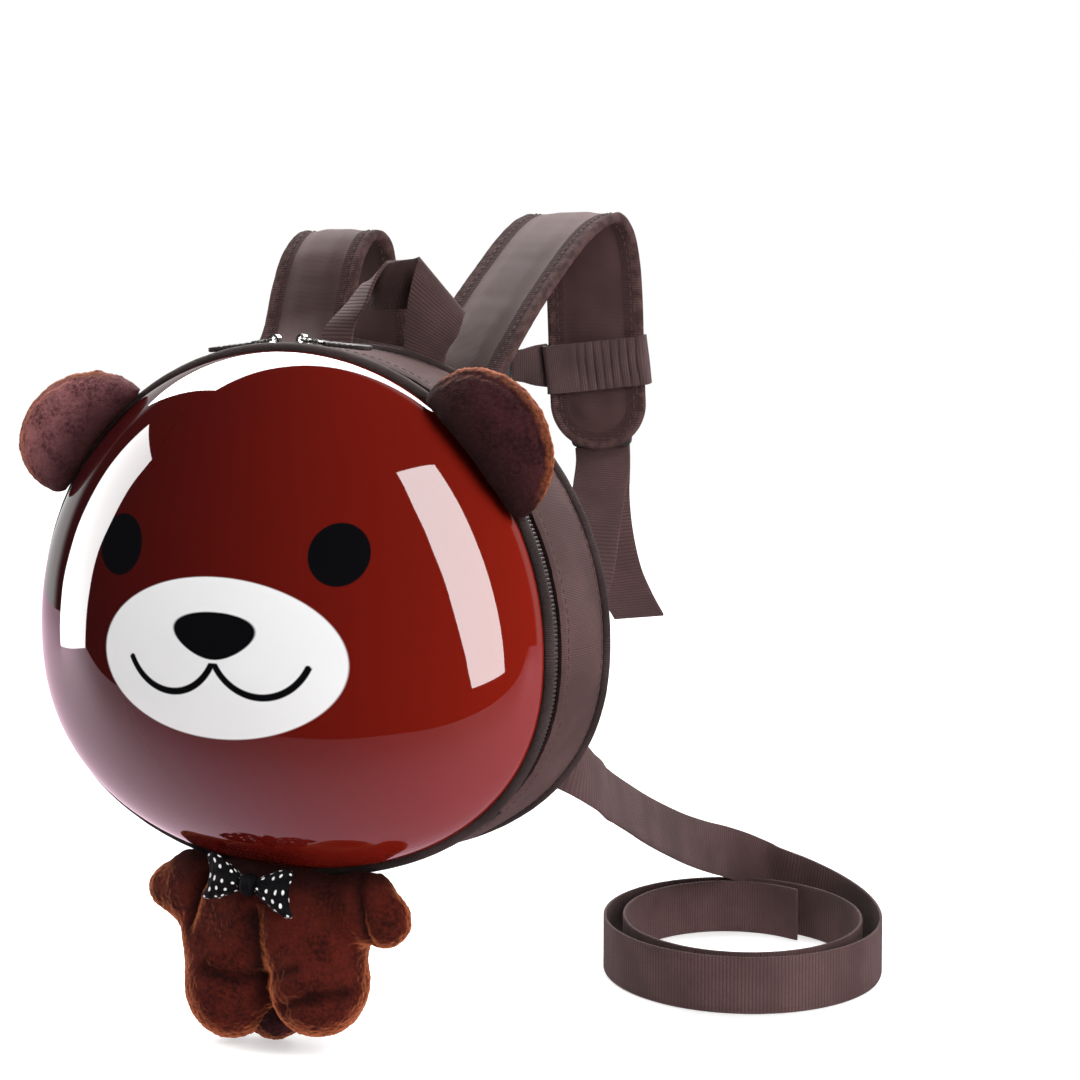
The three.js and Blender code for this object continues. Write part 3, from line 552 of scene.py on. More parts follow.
shell = laid_grid("shell_dome", SHELL["around"], SHELL["rings"], shell_place)
welded(shell)
worked(shell, "SOLIDIFY", thickness=SHELL["wall"] * MM, offset=-1)
rounded(shell, angle=60)
shell_gloss, shell_tree = new_finish("printed_shell_gloss", Specular_IOR_Level=0.0, Coat_Weight=1.0,
                                     Coat_Roughness=0.02, Coat_IOR=1.5)
white_mask, black_mask = face_print(shell_tree)
# Painted shade: the red fades to the darker colour towards the shell's left.
shell_across = mottle(shell_tree, SHELL_LEFT_SHADE_FADE["scale"]) * SHELL_LEFT_SHADE_FADE["patch"] + print_place(shell_tree)[0]
shell_red_and_painted_shade = blend(spread(shell_across, SHELL_LEFT_SHADE_FADE["from"], SHELL_LEFT_SHADE_FADE["to"]), SHELL_PAINTED_SHADE, SHELL_RED)
set_inputs(shell_tree, Base_Color=blend(black_mask, blend(white_mask, shell_red_and_painted_shade, PRINT_WHITE), PRINT_BLACK),
           Roughness=patches(shell_tree, **SHELL_SCUFF))
fitted(shell, shell_gloss, "shell", "front_shell")

# The rim: cord piping covered in cloth round the shell's edge, and a zip tape set back behind it.
# The tape is sewn to the piping in front and to the gusset behind.
PIPING = {"radius": 2.3, "grow": 1.0, "y": 2.6, "around": 14, "girth": 14.4}
PIPING_LUMP = {"share": 0.05, "fine": 26.0}
TAPE = {"grow": -2.2, "front": 0.3, "back": 18.0, "thickness": 1.2, "across": 6}
RIM_STEPS = 324
HEAD_ROUND = 717.0  # the outline's length
PIPING_BROWN = (0.036, 0.023, 0.023)
PIPING_GROOVE = (0.02, 0.016, 0.015)
TAPE_BROWN = (0.026, 0.017, 0.017)
TAPE_GROOVE = (0.01, 0.008, 0.008)


def ring_piece(name, section, across, length_across):
    """A band all round the head: section(v, angle) gives its growth and its y at a share across."""
    def place(u, v):
        angle = 2 * math.pi * u
        grow, y = section(v, angle)
        x, z = head_outline(angle, grow)
        return bag(x, y, z)

    piece = laid_grid(name, RIM_STEPS, across, place)
    measure_cloth(piece, HEAD_ROUND, length_across)
    welded(piece)
    return piece


def ring_noise(angle, fine, third):
    """An uneven value round the head that closes on itself."""
    return noise.noise(Vector((fine * math.cos(angle), fine * math.sin(angle), third)))


def piping_ring(name, node, piping):
    """A round cord in a seam all round the head, with the small lumps that its cloth cover has."""
    def section(v, angle):
        turn = 2 * math.pi * v
        radius = piping["radius"] * (
            1 + PIPING_LUMP["share"] * ring_noise(angle, PIPING_LUMP["fine"], piping["y"]))
        return piping["grow"] + radius * math.cos(turn), piping["y"] + radius * math.sin(turn)

    ring = ring_piece(name, section, piping["around"], piping["girth"])
    rounded(ring, angle=60)
    fitted(ring, piping_cloth, "piping", node)


def tape_section(v, _):
    """The tape's growth and its y at a share across."""
    return TAPE["grow"], TAPE["front"] + v * (TAPE["back"] - TAPE["front"])


piping_cloth = cloth_finish("piping_cloth", PIPING_BROWN, PIPING_GROOVE, rib=0.8, thread=0.8, depth=0.15)
tape_cloth = cloth_finish("zip_tape_cloth", TAPE_BROWN, TAPE_GROOVE, rib=0.9, thread=0.7, depth=0.15)
piping_ring("rim_piping", "front_piping", PIPING)
zip_tape = ring_piece("zip_tape_band", tape_section, TAPE["across"], TAPE["back"] - TAPE["front"])
worked(zip_tape, "SOLIDIFY", thickness=TAPE["thickness"] * MM, offset=0)
rounded(zip_tape)
fitted(zip_tape, tape_cloth, "piping", "zip_tape")

# The gusset: the cloth side wall between the zip and the back, over thin foam, so it swells a little.
# Both edges are turned in and stitched, which puckers the cloth beside the seams.
GUSSET = {"front": 14.5, "back": 51.7, "wall": 1.8, "swell": 1.5, "grow": 0.6, "narrows": 0.5, "across": 22}
HEM = {"height": 0.8, "share": 0.05, "width": 0.035}
PUCKER = {"height": 0.35, "reach": 0.1, "fine": 48.0, "across": 9.0}
SLACK = {"height": 0.45, "fine": 6.0, "across": 2.0}
GUSSET_SEAMS = {"gusset_front_stitches": 0.12, "gusset_back_stitches": 0.95}
CLOTH_BROWN = (0.074, 0.041, 0.039)
CLOTH_GROOVE = (0.034, 0.018, 0.017)
STITCH = {"long": 2.7, "wide": 0.42, "gap": 3.9, "proud": 0.05}
THREAD_BROWN = (0.045, 0.026, 0.025)
THREAD_PALER = 1.6


def gusset_section(v, angle):
    """The gusset's growth and its y at a share across."""
    hem = HEM["height"] * math.exp(-((v - HEM["share"]) / HEM["width"]) ** 2)
    drawn = math.exp(-min(v, 1 - v) / PUCKER["reach"])
    pucker = PUCKER["height"] * drawn * ring_noise(angle, PUCKER["fine"], PUCKER["across"] * v)
    slack = SLACK["height"] * (1 - drawn) * ring_noise(angle, SLACK["fine"], SLACK["across"] * v)
    grow = GUSSET["grow"] - GUSSET["narrows"] * v + GUSSET["swell"] * 4 * v * (1 - v) - GUSSET["wall"] / 2
    return grow + hem + pucker + slack, GUSSET["front"] + v * (GUSSET["back"] - GUSSET["front"])


def copied(name, pattern, places):
    """One mesh with a copy of the small pattern at each place, given as a matrix. The pattern is removed."""
    points, faces = [], []
    for place in places:
        start = len(points)
        points.extend(place @ vertex.co for vertex in pattern.data.vertices)
        faces.extend([start + i for i in polygon.vertices] for polygon in pattern.data.polygons)
    mesh = bpy.data.meshes.new(name)
    mesh.from_pydata(points, [], faces)
    piece = bpy.data.objects.new(name, mesh)
    bpy.context.scene.collection.objects.link(piece)
    bpy.data.objects.remove(pattern)
    rounded(piece, angle=50)
    return piece


def turned_to(place, run, out):
    """A matrix that stands a pattern on a place, its x along the run and its z outwards."""
    across = out.cross(run).normalized()
    turn = Matrix((run.normalized(), across, run.normalized().cross(across))).transposed()
    return Matrix.Translation(place) @ turn.to_4x4()


def stitch_row(name, line):
    """A row of thread stitches along a line of places and outward normals, in the part's own frame."""
    stitch = primitive(bpy.ops.mesh.primitive_uv_sphere_add, segments=6, ring_count=4, radius=1)
    bpy.ops.object.mode_set(mode="EDIT")
    bpy.ops.mesh.select_all(action="SELECT")
    bpy.ops.transform.rotate(value=math.pi / 2, orient_axis="Y", center_override=(0, 0, 0))
    bpy.ops.transform.resize(value=(STITCH["long"] / 2 * MM, STITCH["wide"] * MM, STITCH["wide"] * MM))
    bpy.ops.object.mode_set(mode="OBJECT")
    places, walked, due = [], 0.0, 0.0
    for (here, out), (there, _) in zip(line, line[1:]):
        step = (there - here).length
        while due <= walked + step and step > 0:
            places.append(turned_to(here.lerp(there, (due - walked) / step), there - here, out))
            due += STITCH["gap"] * MM
        walked += step
    return copied(name, stitch, places)


def ring_line(section, v, proud):
    """A line round the head at a share across a band, standing a little proud of it."""
    line = []
    for i in range(RIM_STEPS + 1):
        angle = 2 * math.pi * i / RIM_STEPS
        grow, y = section(v, angle)
        x, z = head_outline(angle, grow + proud)
        outer_x, outer_z = head_outline(angle, grow + proud + 1)
        line.append((bag(x, y, z), Vector((outer_x - x, 0, outer_z - z)).normalized()))
    return line


def mottled_finish(name, first, second, scale, rough=None, grain=None, **inputs):
    """Two mottled colours. rough is a scale and two roughnesses, and grain is a scale and a depth."""
    material, tree = new_finish(name, **inputs)
    set_inputs(tree, Base_Color=blend(mottle(tree, scale), first, second))
    if rough:
        set_inputs(tree, Roughness=patches(tree, rough[0], soft=0.2, low=rough[1], high=rough[2]))
    if grain:
        relief(mottle(tree, grain[0]), grain[1])
    return material


bag_cloth = cloth_finish("bag_cloth", CLOTH_BROWN, CLOTH_GROOVE, rib=0.62, thread=0.62, depth=0.1, patch=0.15)
thread = mottled_finish("sewing_thread", THREAD_BROWN, shaded(THREAD_BROWN, THREAD_PALER), scale=700,
                        Roughness=0.85, Specular_IOR_Level=0.08)
gusset = ring_piece("gusset_cloth", gusset_section, GUSSET["across"], GUSSET["back"] - GUSSET["front"])
worked(gusset, "SOLIDIFY", thickness=GUSSET["wall"] * MM, offset=0)
rounded(gusset)
fitted(gusset, bag_cloth, "cloth", "gusset")
for seam_name, seam_share in GUSSET_SEAMS.items():
    seam = stitch_row(seam_name, ring_line(gusset_section, seam_share, GUSSET["wall"] / 2))
    fitted(seam, thread, "cloth")

# The zip: a nylon coil on the tape, closed from low on one side over the top to low on the other,
# with a sewn cover at each end. Two plated sliders meet at the top, each with a wire ring and a moulded pull.
ZIP = {"y": 10.2, "grow": -1.3, "height": 1.5, "width": 4.0, "stop_x": 90.0, "fine_steps": 2400}
ZIP_LINK = {"pitch": 1.7, "long": 1.15, "bevel": 0.42}
PULL = {"slim": 0.6, "drop": 0.7, "groove": 0.3, "pitch": 2.6, "gripped": 0.7, "voxel": 0.5}
COIL_BROWN = (0.03, 0.021, 0.02)
COIL_PALER = 1.7
PLATED_BRIGHT = (0.82, 0.82, 0.8)
PLATED_DULL = (0.62, 0.61, 0.6)
PULL_DARK = (0.02, 0.015, 0.015)
PULL_PALE = (0.04, 0.031, 0.03)


def zip_places():
    """Places of the coil's links along the closed zip."""
    stop = -math.acos((ZIP["stop_x"] / HEAD["half_width"]) ** (HEAD["side"] / 2))
    angles = [stop + (math.pi - 2 * stop) * i / ZIP["fine_steps"] for i in range(ZIP["fine_steps"] + 1)]
    points = [Vector((*head_outline(angle, ZIP["grow"] + ZIP["height"] / 2), 0)) for angle in angles]
    places, walked, due = [], 0.0, ZIP_LINK["pitch"] / 2
    for a, b in zip(points, points[1:]):
        walked += (b - a).length
        if walked >= due:
            run = Vector((b.x - a.x, 0, b.y - a.y))
            places.append(turned_to(bag(a.x, ZIP["y"], a.y), run, Vector((run.z, 0, -run.x))))
            due += ZIP_LINK["pitch"]
    return places


def in_bag(point):
    """A point of the part's own frame in millimetres from the middle of the rim."""
    return point / MM + HOOK


def reshape(piece, move):
    """Moves each point of a piece in turn: move(place, normal) gives its new place."""
    spots = [(in_bag(vertex.co), vertex.normal.copy()) for vertex in piece.data.vertices]
    for vertex, (place, normal) in zip(piece.data.vertices, spots):
        vertex.co = bag(*move(place, normal))


def copy_of(name, node):
    """A welded copy of one of the part's solids."""
    piece = bpy.data.objects.new(name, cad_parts[node].data.copy())
    bpy.context.scene.collection.objects.link(piece)
    welded(piece)
    return piece


def slim_pull(name, node):
    """A moulded pull in the plain tab's place: slimmer, with soft edges and grip grooves along its middle."""
    piece = copy_of(name, node)
    points = [in_bag(vertex.co) for vertex in piece.data.vertices]
    middle = sum(points, Vector()) / len(points)
    offsets = [point - middle for point in points]
    slope = 0.5 * math.atan2(2 * sum(p.x * p.z for p in offsets), sum(p.x ** 2 - p.z ** 2 for p in offsets))
    along = Vector((math.cos(slope), 0, math.sin(slope)))
    up = Vector((-math.sin(slope), 0, math.cos(slope)))
    worked(piece, "REMESH", mode="VOXEL", voxel_size=PULL["voxel"] * MM)
    worked(piece, "SMOOTH", factor=0.5, iterations=4)
    half = max(abs((in_bag(vertex.co) - middle).dot(along)) for vertex in piece.data.vertices)

    def gripped(place, _):
        run, rise = (place - middle).dot(along), (place - middle).dot(up)
        groove = 0.0
        if abs(run) < PULL["gripped"] * half:
            groove = PULL["groove"] * max(0.0, math.sin(2 * math.pi * run / PULL["pitch"]))
        lower = rise * PULL["slim"] - math.copysign(groove, rise) * min(1.0, abs(rise)) - PULL["drop"]
        return place + up * (lower - rise)

    reshape(piece, gripped)
    rounded(piece, angle=60)
    return piece


def refinish(node, material):
    """Gives a solid that keeps its own shape a better material."""
    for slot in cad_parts[node].material_slots:
        slot.material = material


zip_link = primitive(bpy.ops.mesh.primitive_cube_add, size=1)
bpy.ops.object.mode_set(mode="EDIT")
bpy.ops.mesh.select_all(action="SELECT")
bpy.ops.transform.resize(value=(ZIP_LINK["long"] * MM, ZIP["width"] * MM, ZIP["height"] * MM))
bpy.ops.mesh.bevel(offset=ZIP_LINK["bevel"] * MM, segments=1)
bpy.ops.object.mode_set(mode="OBJECT")
zip_coil = copied("zip_coil", zip_link, zip_places())
coil_nylon = mottled_finish("nylon_coil", COIL_BROWN, shaded(COIL_BROWN, COIL_PALER), scale=300,
                            Roughness=0.5, Specular_IOR_Level=0.2)
fitted(zip_coil, coil_nylon, "zip_coil", "zip_chain")

plated = mottled_finish("bright_plating", PLATED_BRIGHT, PLATED_DULL, scale=500, rough=(900, 0.12, 0.3),
                        Metallic=1.0)
pull_plastic = mottled_finish("pull_plastic", PULL_DARK, PULL_PALE, scale=400, rough=(700, 0.5, 0.7),
                              grain=(2500, 0.05), Specular_IOR_Level=0.12)
for side_name in ("left", "right"):
    refinish(f"zip_slider_{side_name}", plated)
    refinish(f"zip_pull_ring_{side_name}", plated)
    refinish(f"zip_end_{side_name}", tape_cloth)
    pull = slim_pull(f"pull_grip_{side_name}", f"zip_pull_tab_{side_name}")
    fitted(pull, pull_plastic, "pull_tab", f"zip_pull_tab_{side_name}", body=f"{side_name}_pull")

# The back: a flat cloth panel over thin foam, with thin piping in its seam all round.
# It lies against the wearer, so it is plain apart from a stitched border.
BACK = {"rear": 55.0, "wall": 2.6, "grow": -1.7, "border": 0.935, "around": 160, "rings": 40, "reach": 105.0}
BACK_EDGE = {"fall": 1.2, "from": 0.93, "wide": 0.07}
BACK_DIMPLES = {"depth": 0.5, "fine": 0.035, "fade": 6}
BACK_PIPING = {"radius": 1.8, "grow": 0.5, "y": 53.8, "around": 12, "girth": 11.3}
BACK_WEAVE = {"thread": 1.6, "depth": 0.4, "patch_scale": 30, "darker": 0.7}
BACK_GROOVE = (0.03, 0.022, 0.02)


def panel_place(u, v):
    """A point of the panel's middle layer, dimpled and falling at its edge."""
    x, z = head_outline(2 * math.pi * u, BACK["grow"], v)
    fall = BACK_EDGE["fall"] * max(0.0, (v - BACK_EDGE["from"]) / BACK_EDGE["wide"]) ** 2
    uneven = 0.5 + 0.5 * noise.noise(Vector((x, z, 0)) * BACK_DIMPLES["fine"])
    dimple = BACK_DIMPLES["depth"] * uneven * (1 - v ** BACK_DIMPLES["fade"])
    return bag(x, BACK["rear"] - BACK["wall"] / 2 - fall - dimple, z)


piping_ring("back_seam_piping", "back_piping", BACK_PIPING)
back_panel = laid_grid("back_panel_cloth", BACK["around"], BACK["rings"], panel_place)
measure_cloth(back_panel, HEAD_ROUND, BACK["reach"])
welded(back_panel)
worked(back_panel, "SOLIDIFY", thickness=BACK["wall"] * MM, offset=0)
rounded(back_panel, angle=60)
panel_cloth, panel_tree = new_finish("back_panel_mesh", Roughness=0.9, Sheen_Weight=0.2)
panel_x, _, panel_z = split(panel_tree, "ShaderNodeTexCoord", "Object")
panel_height, panel_groove = woven(panel_tree, BACK_WEAVE["thread"], BACK_WEAVE["thread"], (panel_x, panel_z))
panel_mottle = mottle(panel_tree, BACK_WEAVE["patch_scale"])
panel_patch = blend(panel_mottle, CLOTH_BROWN, shaded(CLOTH_BROWN, BACK_WEAVE["darker"]))
# The grooves between the threads are painted darker, as painted shade.
set_inputs(panel_tree, Base_Color=blend(panel_groove, panel_patch, BACK_GROOVE))
relief(panel_height, BACK_WEAVE["depth"])
fitted(back_panel, panel_cloth, "cloth", "back_panel")
border_lift = Vector((0, BACK["wall"] / 2 + STITCH["proud"], 0)) * MM
border_line = [(panel_place(i / RIM_STEPS, BACK["border"]) + border_lift, Vector((0, 1, 0)))
               for i in range(RIM_STEPS + 1)]
fitted(stitch_row("back_border_stitches", border_line), thread, "cloth")

# The haul handle: one length of webbing sewn in the top of the back seam, where the bag hangs.
# It was packed flat, so it leans to one side and is folded at both ends of its top, which stands on edge.
# Columns: x, y and z of the webbing's inner edge, then x, y and z of its outer edge.
HANDLE = [
    (-3, 56.8, 100, -24, 56.8, 100), (-1.5, 57, 113, -20, 57.4, 113), (0.4, 56.5, 125.6, -15, 59, 125.4),
    (9.7, 51, 135.6, -8, 64, 134.8), (14.2, 51, 145.6, -0.5, 68, 144.3), (17.2, 55, 152.6, 0.5, 70, 142),
    (18, 60, 153.4, 2.3, 69, 133.5), (22.1, 61.5, 154, 11.5, 66, 133.5), (27, 61, 154.5, 24.1, 64.5, 133.5),
    (30.8, 58.5, 154.7, 50.6, 61.5, 132.2), (30.3, 56.5, 148.9, 51.7, 59, 129.1),
    (27.6, 56, 137.3, 49.9, 57, 122.5), (25.6, 56.5, 125.7, 45.4, 56.8, 116.7),
    (24.5, 57, 115, 43.5, 57, 110), (23.5, 56.8, 100, 43, 56.8, 98),
]
HANDLE_LENGTH = 176.0
HANDLE_STEPS = {"along": 150, "across": 12}
handle_inner = [(*row[:3], 0) for row in HANDLE]
handle_outer = [(*row[3:], 0) for row in HANDLE]


def handle_place(u, v):
    """A point of the handle's webbing between its two edges."""
    inner, outer = smooth_point(handle_inner, u)[0], smooth_point(handle_outer, u)[0]
    return bag(*inner.lerp(outer, v))


handle = laid_grid("handle_webbing", HANDLE_STEPS["along"], HANDLE_STEPS["across"], handle_place)
measure_cloth(handle, HANDLE_LENGTH, WEBBING["width"])
as_webbing(handle)
fitted(handle, webbing_cloth, "webbing", "haul_handle")

# The shoulder straps: thin foam pads covered in cloth, with a bound and stitched edge and a round lower end.
# They are sewn to the back panel near its top and stand up in a loop, as they were packed.
# Columns: x, y, z, yaw of the strap's width in degrees.
RIGHT_STRAP = [
    (44, 57.2, 79, 0), (44.5, 57.7, 91, 0), (45.5, 64, 105, 0), (47, 74, 117, 0), (49, 92, 134.5, 0),
    (50.5, 113, 151, 0), (51, 133, 164, 2), (51, 151, 171.5, 6), (51, 165, 173, 10), (51, 175, 166, 13),
    (51, 180.5, 153, 16), (51, 183, 138, 17), (51, 184.5, 118, 17), (51, 186, 98, 17), (51, 187.5, 84, 17),
    (51, 189, 69, 17),
]
LEFT_STRAP = [
    (-44, 57.2, 79, 0), (-44.5, 57.7, 90, 0), (-46, 66, 101, 0), (-48, 83, 110, 0), (-50, 98, 123, 0),
    (-51, 107, 142, 0), (-51, 115, 157, -2), (-51, 127, 166, -6), (-51, 139, 164, -10), (-51, 147, 153, -13),
    (-48.5, 151, 135, -8), (-47, 153, 115, -5), (-48.5, 155, 90, -11), (-51, 157, 65, -17),
    (-51, 158, 47, -17), (-51, 159, 28, -17),
]
STRAP = {"width": 44.0, "thick": 6.0, "root": 2.0, "taper": 26.0, "edge": 4.0, "tip": 21.5, "narrowest": 0.02}
STRAP_STEPS = {"along": 160, "around": 96, "tip": 24}
BINDING = {"roll": 4.2, "roll_half": 2.3, "fuller": 0.3, "width": 8.5, "rise": 8.0, "stitch_at": 5.2}
BINDING_LUMP = {"share": 0.14, "along": 0.28, "across": 0.2}
PAD_WRINKLE = {"height": 0.45, "fine": 0.05, "apart": 7.0}
PAD_CREASE = {"height": 0.25, "along": 0.16, "across": 0.03}
PAD_CLOTH = {"pitch": 0.6, "dull": 0.6, "worn": 0.9, "groove": 0.6, "rough": 0.6, "height": 0.25}
PAD_WORN = {"scale": 30, "soft": 0.15}
BINDING_TAPE = {"pitch": 1.1, "dull": 0.62, "worn": 1.2, "groove": 0.7, "rough": 0.9, "height": 0.9}
BINDING_FOLDS = {"scale": 210, "soft": 0.12, "detail": 4}
BINDING_FADE = {"inside": 0.6, "outside": 0.4}
ROLL_FADE = {"inside": 0.4, "outside": 0.3}
STRAP_RELIEF = 0.3
PAD_SOFT = 6.0  # how far from the binding the foam is free to wrinkle


def level_width(yaw):
    """A strap's width: level, turned by a yaw from +X."""
    return Vector((math.cos(yaw), math.sin(yaw), 0))


def eased(share):
    """A share that starts and ends gently."""
    return share * share * (3 - 2 * share)


def mark_points(piece, name, values):
    """Stores a value on each point of a piece, for its material."""
    piece.data.attributes.new(name, "FLOAT", "POINT").data.foreach_set("value", values)


def strap_pad(name, rows):
    """A pad along a path. Returns it with the lines of stitches beside the edges of its two faces."""
    steps, around = STRAP_STEPS["along"], STRAP_STEPS["around"]
    frames = frames_along(rows, steps, level_width)
    reach = reach_along(frames)
    tip_start = reach[-1] - STRAP["tip"]
    half = STRAP["width"] / 2

    def from_edge(i, across):
        """The distance from the bound edge, which runs round the lower end."""
        return half - math.hypot(across, max(0.0, reach[i] - tip_start) * half / STRAP["tip"])

    def half_width(i):
        past = max(0.0, reach[i] - tip_start) / STRAP["tip"]
        return half * math.sqrt(max(STRAP["narrowest"] ** 2, 1 - past * past))

    def half_thick(i, edge):
        """Half the pad's thickness: a rolled binding at the edge, a flat stitched border, then the foam."""
        grown = min(1.0, reach[i] / STRAP["taper"]) ** 2
        full = (STRAP["root"] + (STRAP["thick"] - STRAP["root"]) * grown) / 2
        flat = min(full, STRAP["edge"] / 2)
        uneven = Vector((reach[i] * BINDING_LUMP["along"], edge * BINDING_LUMP["across"], 3))
        lump = 1 + BINDING_LUMP["share"] * noise.noise(uneven)
        across_roll = min(1.0, abs(2 * edge / BINDING["roll"] - 1))
        roll = min(full + BINDING["fuller"], BINDING["roll_half"]) * lump * math.sqrt(1 - across_roll ** 2)
        if edge < BINDING["roll"] / 2:
            return roll
        return max(roll, flat + (full - flat) * eased(clamped((edge - BINDING["width"]) / BINDING["rise"])))

    def face_point(i, across, side, proud=0.0):
        middle, _, wide, out = frames[i]
        edge = from_edge(i, across)
        spot = (middle + wide * across) * PAD_WRINKLE["fine"] + Vector((0, 0, PAD_WRINKLE["apart"] * side))
        fold = Vector((reach[i] * PAD_CREASE["along"], across * PAD_CREASE["across"], side))
        uneven = PAD_WRINKLE["height"] * noise.noise(spot) + PAD_CREASE["height"] * noise.noise(fold)
        lift = half_thick(i, edge) + uneven * clamped((edge - BINDING["width"]) / PAD_SOFT)
        return bag(*(middle + wide * across + out * side * (lift + proud)))

    def place(u, v):
        i = round(u * steps)
        turn = math.sin(2 * math.pi * v)
        side = 0 if abs(turn) < 1e-6 else math.copysign(1, turn)
        return face_point(i, half_width(i) * math.cos(2 * math.pi * v), side)

    pad = laid_grid(name, steps, around, place)
    spots = [(i, half_width(i) * math.cos(2 * math.pi * j / around))
             for j in range(around + 1) for i in range(steps + 1)]
    mark_points(pad, "from_edge", [from_edge(i, across) for i, across in spots])
    mark_points(pad, "across_strap", [across * MM for _, across in spots])
    mark_points(pad, "along_strap", [reach[i] * MM for i, _ in spots])
    welded(pad)
    rounded(pad, angle=60)

    inner = half - BINDING["stitch_at"]
    straight = [i for i in range(steps + 1) if reach[i] <= tip_start]
    line = [(i, -inner) for i in straight]
    for k in range(1, STRAP_STEPS["tip"]):
        turn = math.pi * k / STRAP_STEPS["tip"]
        wanted = tip_start + inner * math.sin(turn) * STRAP["tip"] / half
        nearest = min(range(steps + 1), key=lambda i: abs(reach[i] - wanted))
        line.append((nearest, -inner * math.cos(turn)))
    line += [(i, inner) for i in reversed(straight)]
    return pad, [[(face_point(i, across, side, STITCH["proud"]), frames[i][3] * side) for i, across in line]
                 for side in (1, -1)]


def reading(tree, name):
    """A value that is stored on the piece's points."""
    node = tree.nodes.new("ShaderNodeAttribute")
    node.attribute_name = name
    return Value(tree, node.outputs["Fac"])


def strap_finish():
    """Smooth cloth on the pad's middle, ribbed binding along its edge, read from the pad's own points."""
    material, tree = new_finish("strap_cloth", Specular_IOR_Level=0.03)
    edge = reading(tree, "from_edge")
    places = reading(tree, "along_strap"), reading(tree, "across_strap")
    binding, rolled = (
        spread(edge, limit - fade["inside"], limit + fade["outside"], 1.0, 0.0)
        for limit, fade in ((BINDING["width"], BINDING_FADE), (BINDING["roll"], ROLL_FADE)))
    fine, fine_groove = woven(tree, PAD_CLOTH["pitch"], PAD_CLOTH["pitch"], places)
    coarse, coarse_groove = woven(tree, BINDING_TAPE["pitch"], BINDING_TAPE["pitch"], places)
    cloth = blend(patches(tree, **PAD_WORN),
                  shaded(CLOTH_BROWN, PAD_CLOTH["dull"]), shaded(CLOTH_BROWN, PAD_CLOTH["worn"]))
    # The grooves between the pad's threads are painted darker, as painted shade.
    cloth = blend(fine_groove * PAD_CLOTH["groove"], cloth, CLOTH_GROOVE)
    tape = blend(patches(tree, **BINDING_FOLDS) * rolled,
                 shaded(CLOTH_BROWN, BINDING_TAPE["dull"]), shaded(CLOTH_BROWN, BINDING_TAPE["worn"]))
    # The grooves between the binding's threads are painted darker, as painted shade.
    tape = blend(coarse_groove * BINDING_TAPE["groove"], tape, WEBBING_GROOVE)
    set_inputs(tree, Base_Color=blend(binding, cloth, tape),
               Roughness=spread(binding, 0.0, 1.0, PAD_CLOTH["rough"], BINDING_TAPE["rough"]))
    relief(binding * (coarse * BINDING_TAPE["height"]) + fine * PAD_CLOTH["height"], STRAP_RELIEF)
    return material


strap_cloth = strap_finish()
for side_name, rows in (("left", LEFT_STRAP), ("right", RIGHT_STRAP)):
    pad, stitch_lines = strap_pad(f"strap_pad_{side_name}", rows)
    fitted(pad, strap_cloth, "cloth", f"shoulder_strap_{side_name}")
    for face_name, stitch_line in zip(("outer", "inner"), stitch_lines):
        fitted(stitch_row(f"strap_stitches_{side_name}_{face_name}", stitch_line), thread, "cloth")

# The lower straps: webbing from the low corners of the back up to a ladder buckle on each pad's outer side,
# with a free end that hangs from the buckle. The buckles are plain moulded frames. The webbing's lower ends
# and the leash's first end are sewn to the back with a box of stitches.
RIGHT_LOWER = [
    (56, 56.4, -76, 0), (56, 58, -64, 0), (56, 80, -54, 3), (56, 115, -36, 6), (54, 150, -10, 10),
    (52.5, 172, 14, 14), (50.3, 184, 36, 17), (49.7, 190.5, 50, 17),
]
LEFT_LOWER = [
    (-56, 56.4, -76, 0), (-56, 58, -66, 0), (-56, 78, -62, -3), (-56, 104, -55, -6), (-54, 130, -38, -10),
    (-52, 150, -12, -14), (-50, 161, 12, -17),
]
RIGHT_TAIL = [
    (48, 198.5, 64, 17), (48.5, 197, 47, 17), (50, 197.5, 31, 16), (51.5, 203, 14, 15), (52, 214, 1, 14),
    (52, 229, -12, 13),
]
LEFT_TAIL = [
    (-49, 168, 20, -17), (-49.5, 169.5, -4, -17), (-50.5, 173, -28, -16), (-51.5, 180, -49, -15),
    (-52, 189, -68, -14),
]
ADJUSTER = {"thick": 3.6, "height": 24.0, "from_tip": 13.0, "lead": 7.0, "face": 3.392, "gap": 0.3,
            "taper": 0.17, "bevel": 0.4}
SEWN_BOX = {"near": 2.0, "far": 11.0, "inset": 2.6, "parts": 8}
LEVEL_STEPS = 400
BUCKLE_DARK = (0.018, 0.016, 0.016)
BUCKLE_PALE = (0.034, 0.03, 0.03)


def frame_at_level(rows, level):
    """The frame of a strap where it comes down past a level."""
    frames = frames_along(rows, LEVEL_STEPS, level_width)
    top = max(range(len(frames)), key=lambda i: frames[i][0].z)
    return next(f for f in frames[top:] if f[0].z <= level)


def buckle_frame(rows):
    """The frame of a strap where its ladder buckle lies."""
    return frame_at_level(rows, rows[-1][2] + ADJUSTER["from_tip"])


def adjuster_row(rows, out, down):
    """A row for webbing at the buckle on a pad: some way out of the pad's face and down from the buckle."""
    middle, run, _, face = buckle_frame(rows)
    place = middle - face * (ADJUSTER["face"] + ADJUSTER["gap"] + out) + run * down
    return (*place, rows[-1][3])


def tapered_buckle(name, node, rows):
    """A ladder buckle in the plain frame's place, narrower towards its lower bar."""
    piece = copy_of(name, node)
    middle, run, wide, _ = buckle_frame(rows)

    def narrowed(place, _):
        down = clamped((place - middle).dot(run) / (ADJUSTER["height"] / 2))
        return place - wide * ((place - middle).dot(wide) * ADJUSTER["taper"] * down)

    reshape(piece, narrowed)
    worked(piece, "BEVEL", width=ADJUSTER["bevel"] * MM, segments=2, limit_method="ANGLE")
    rounded(piece)
    return piece


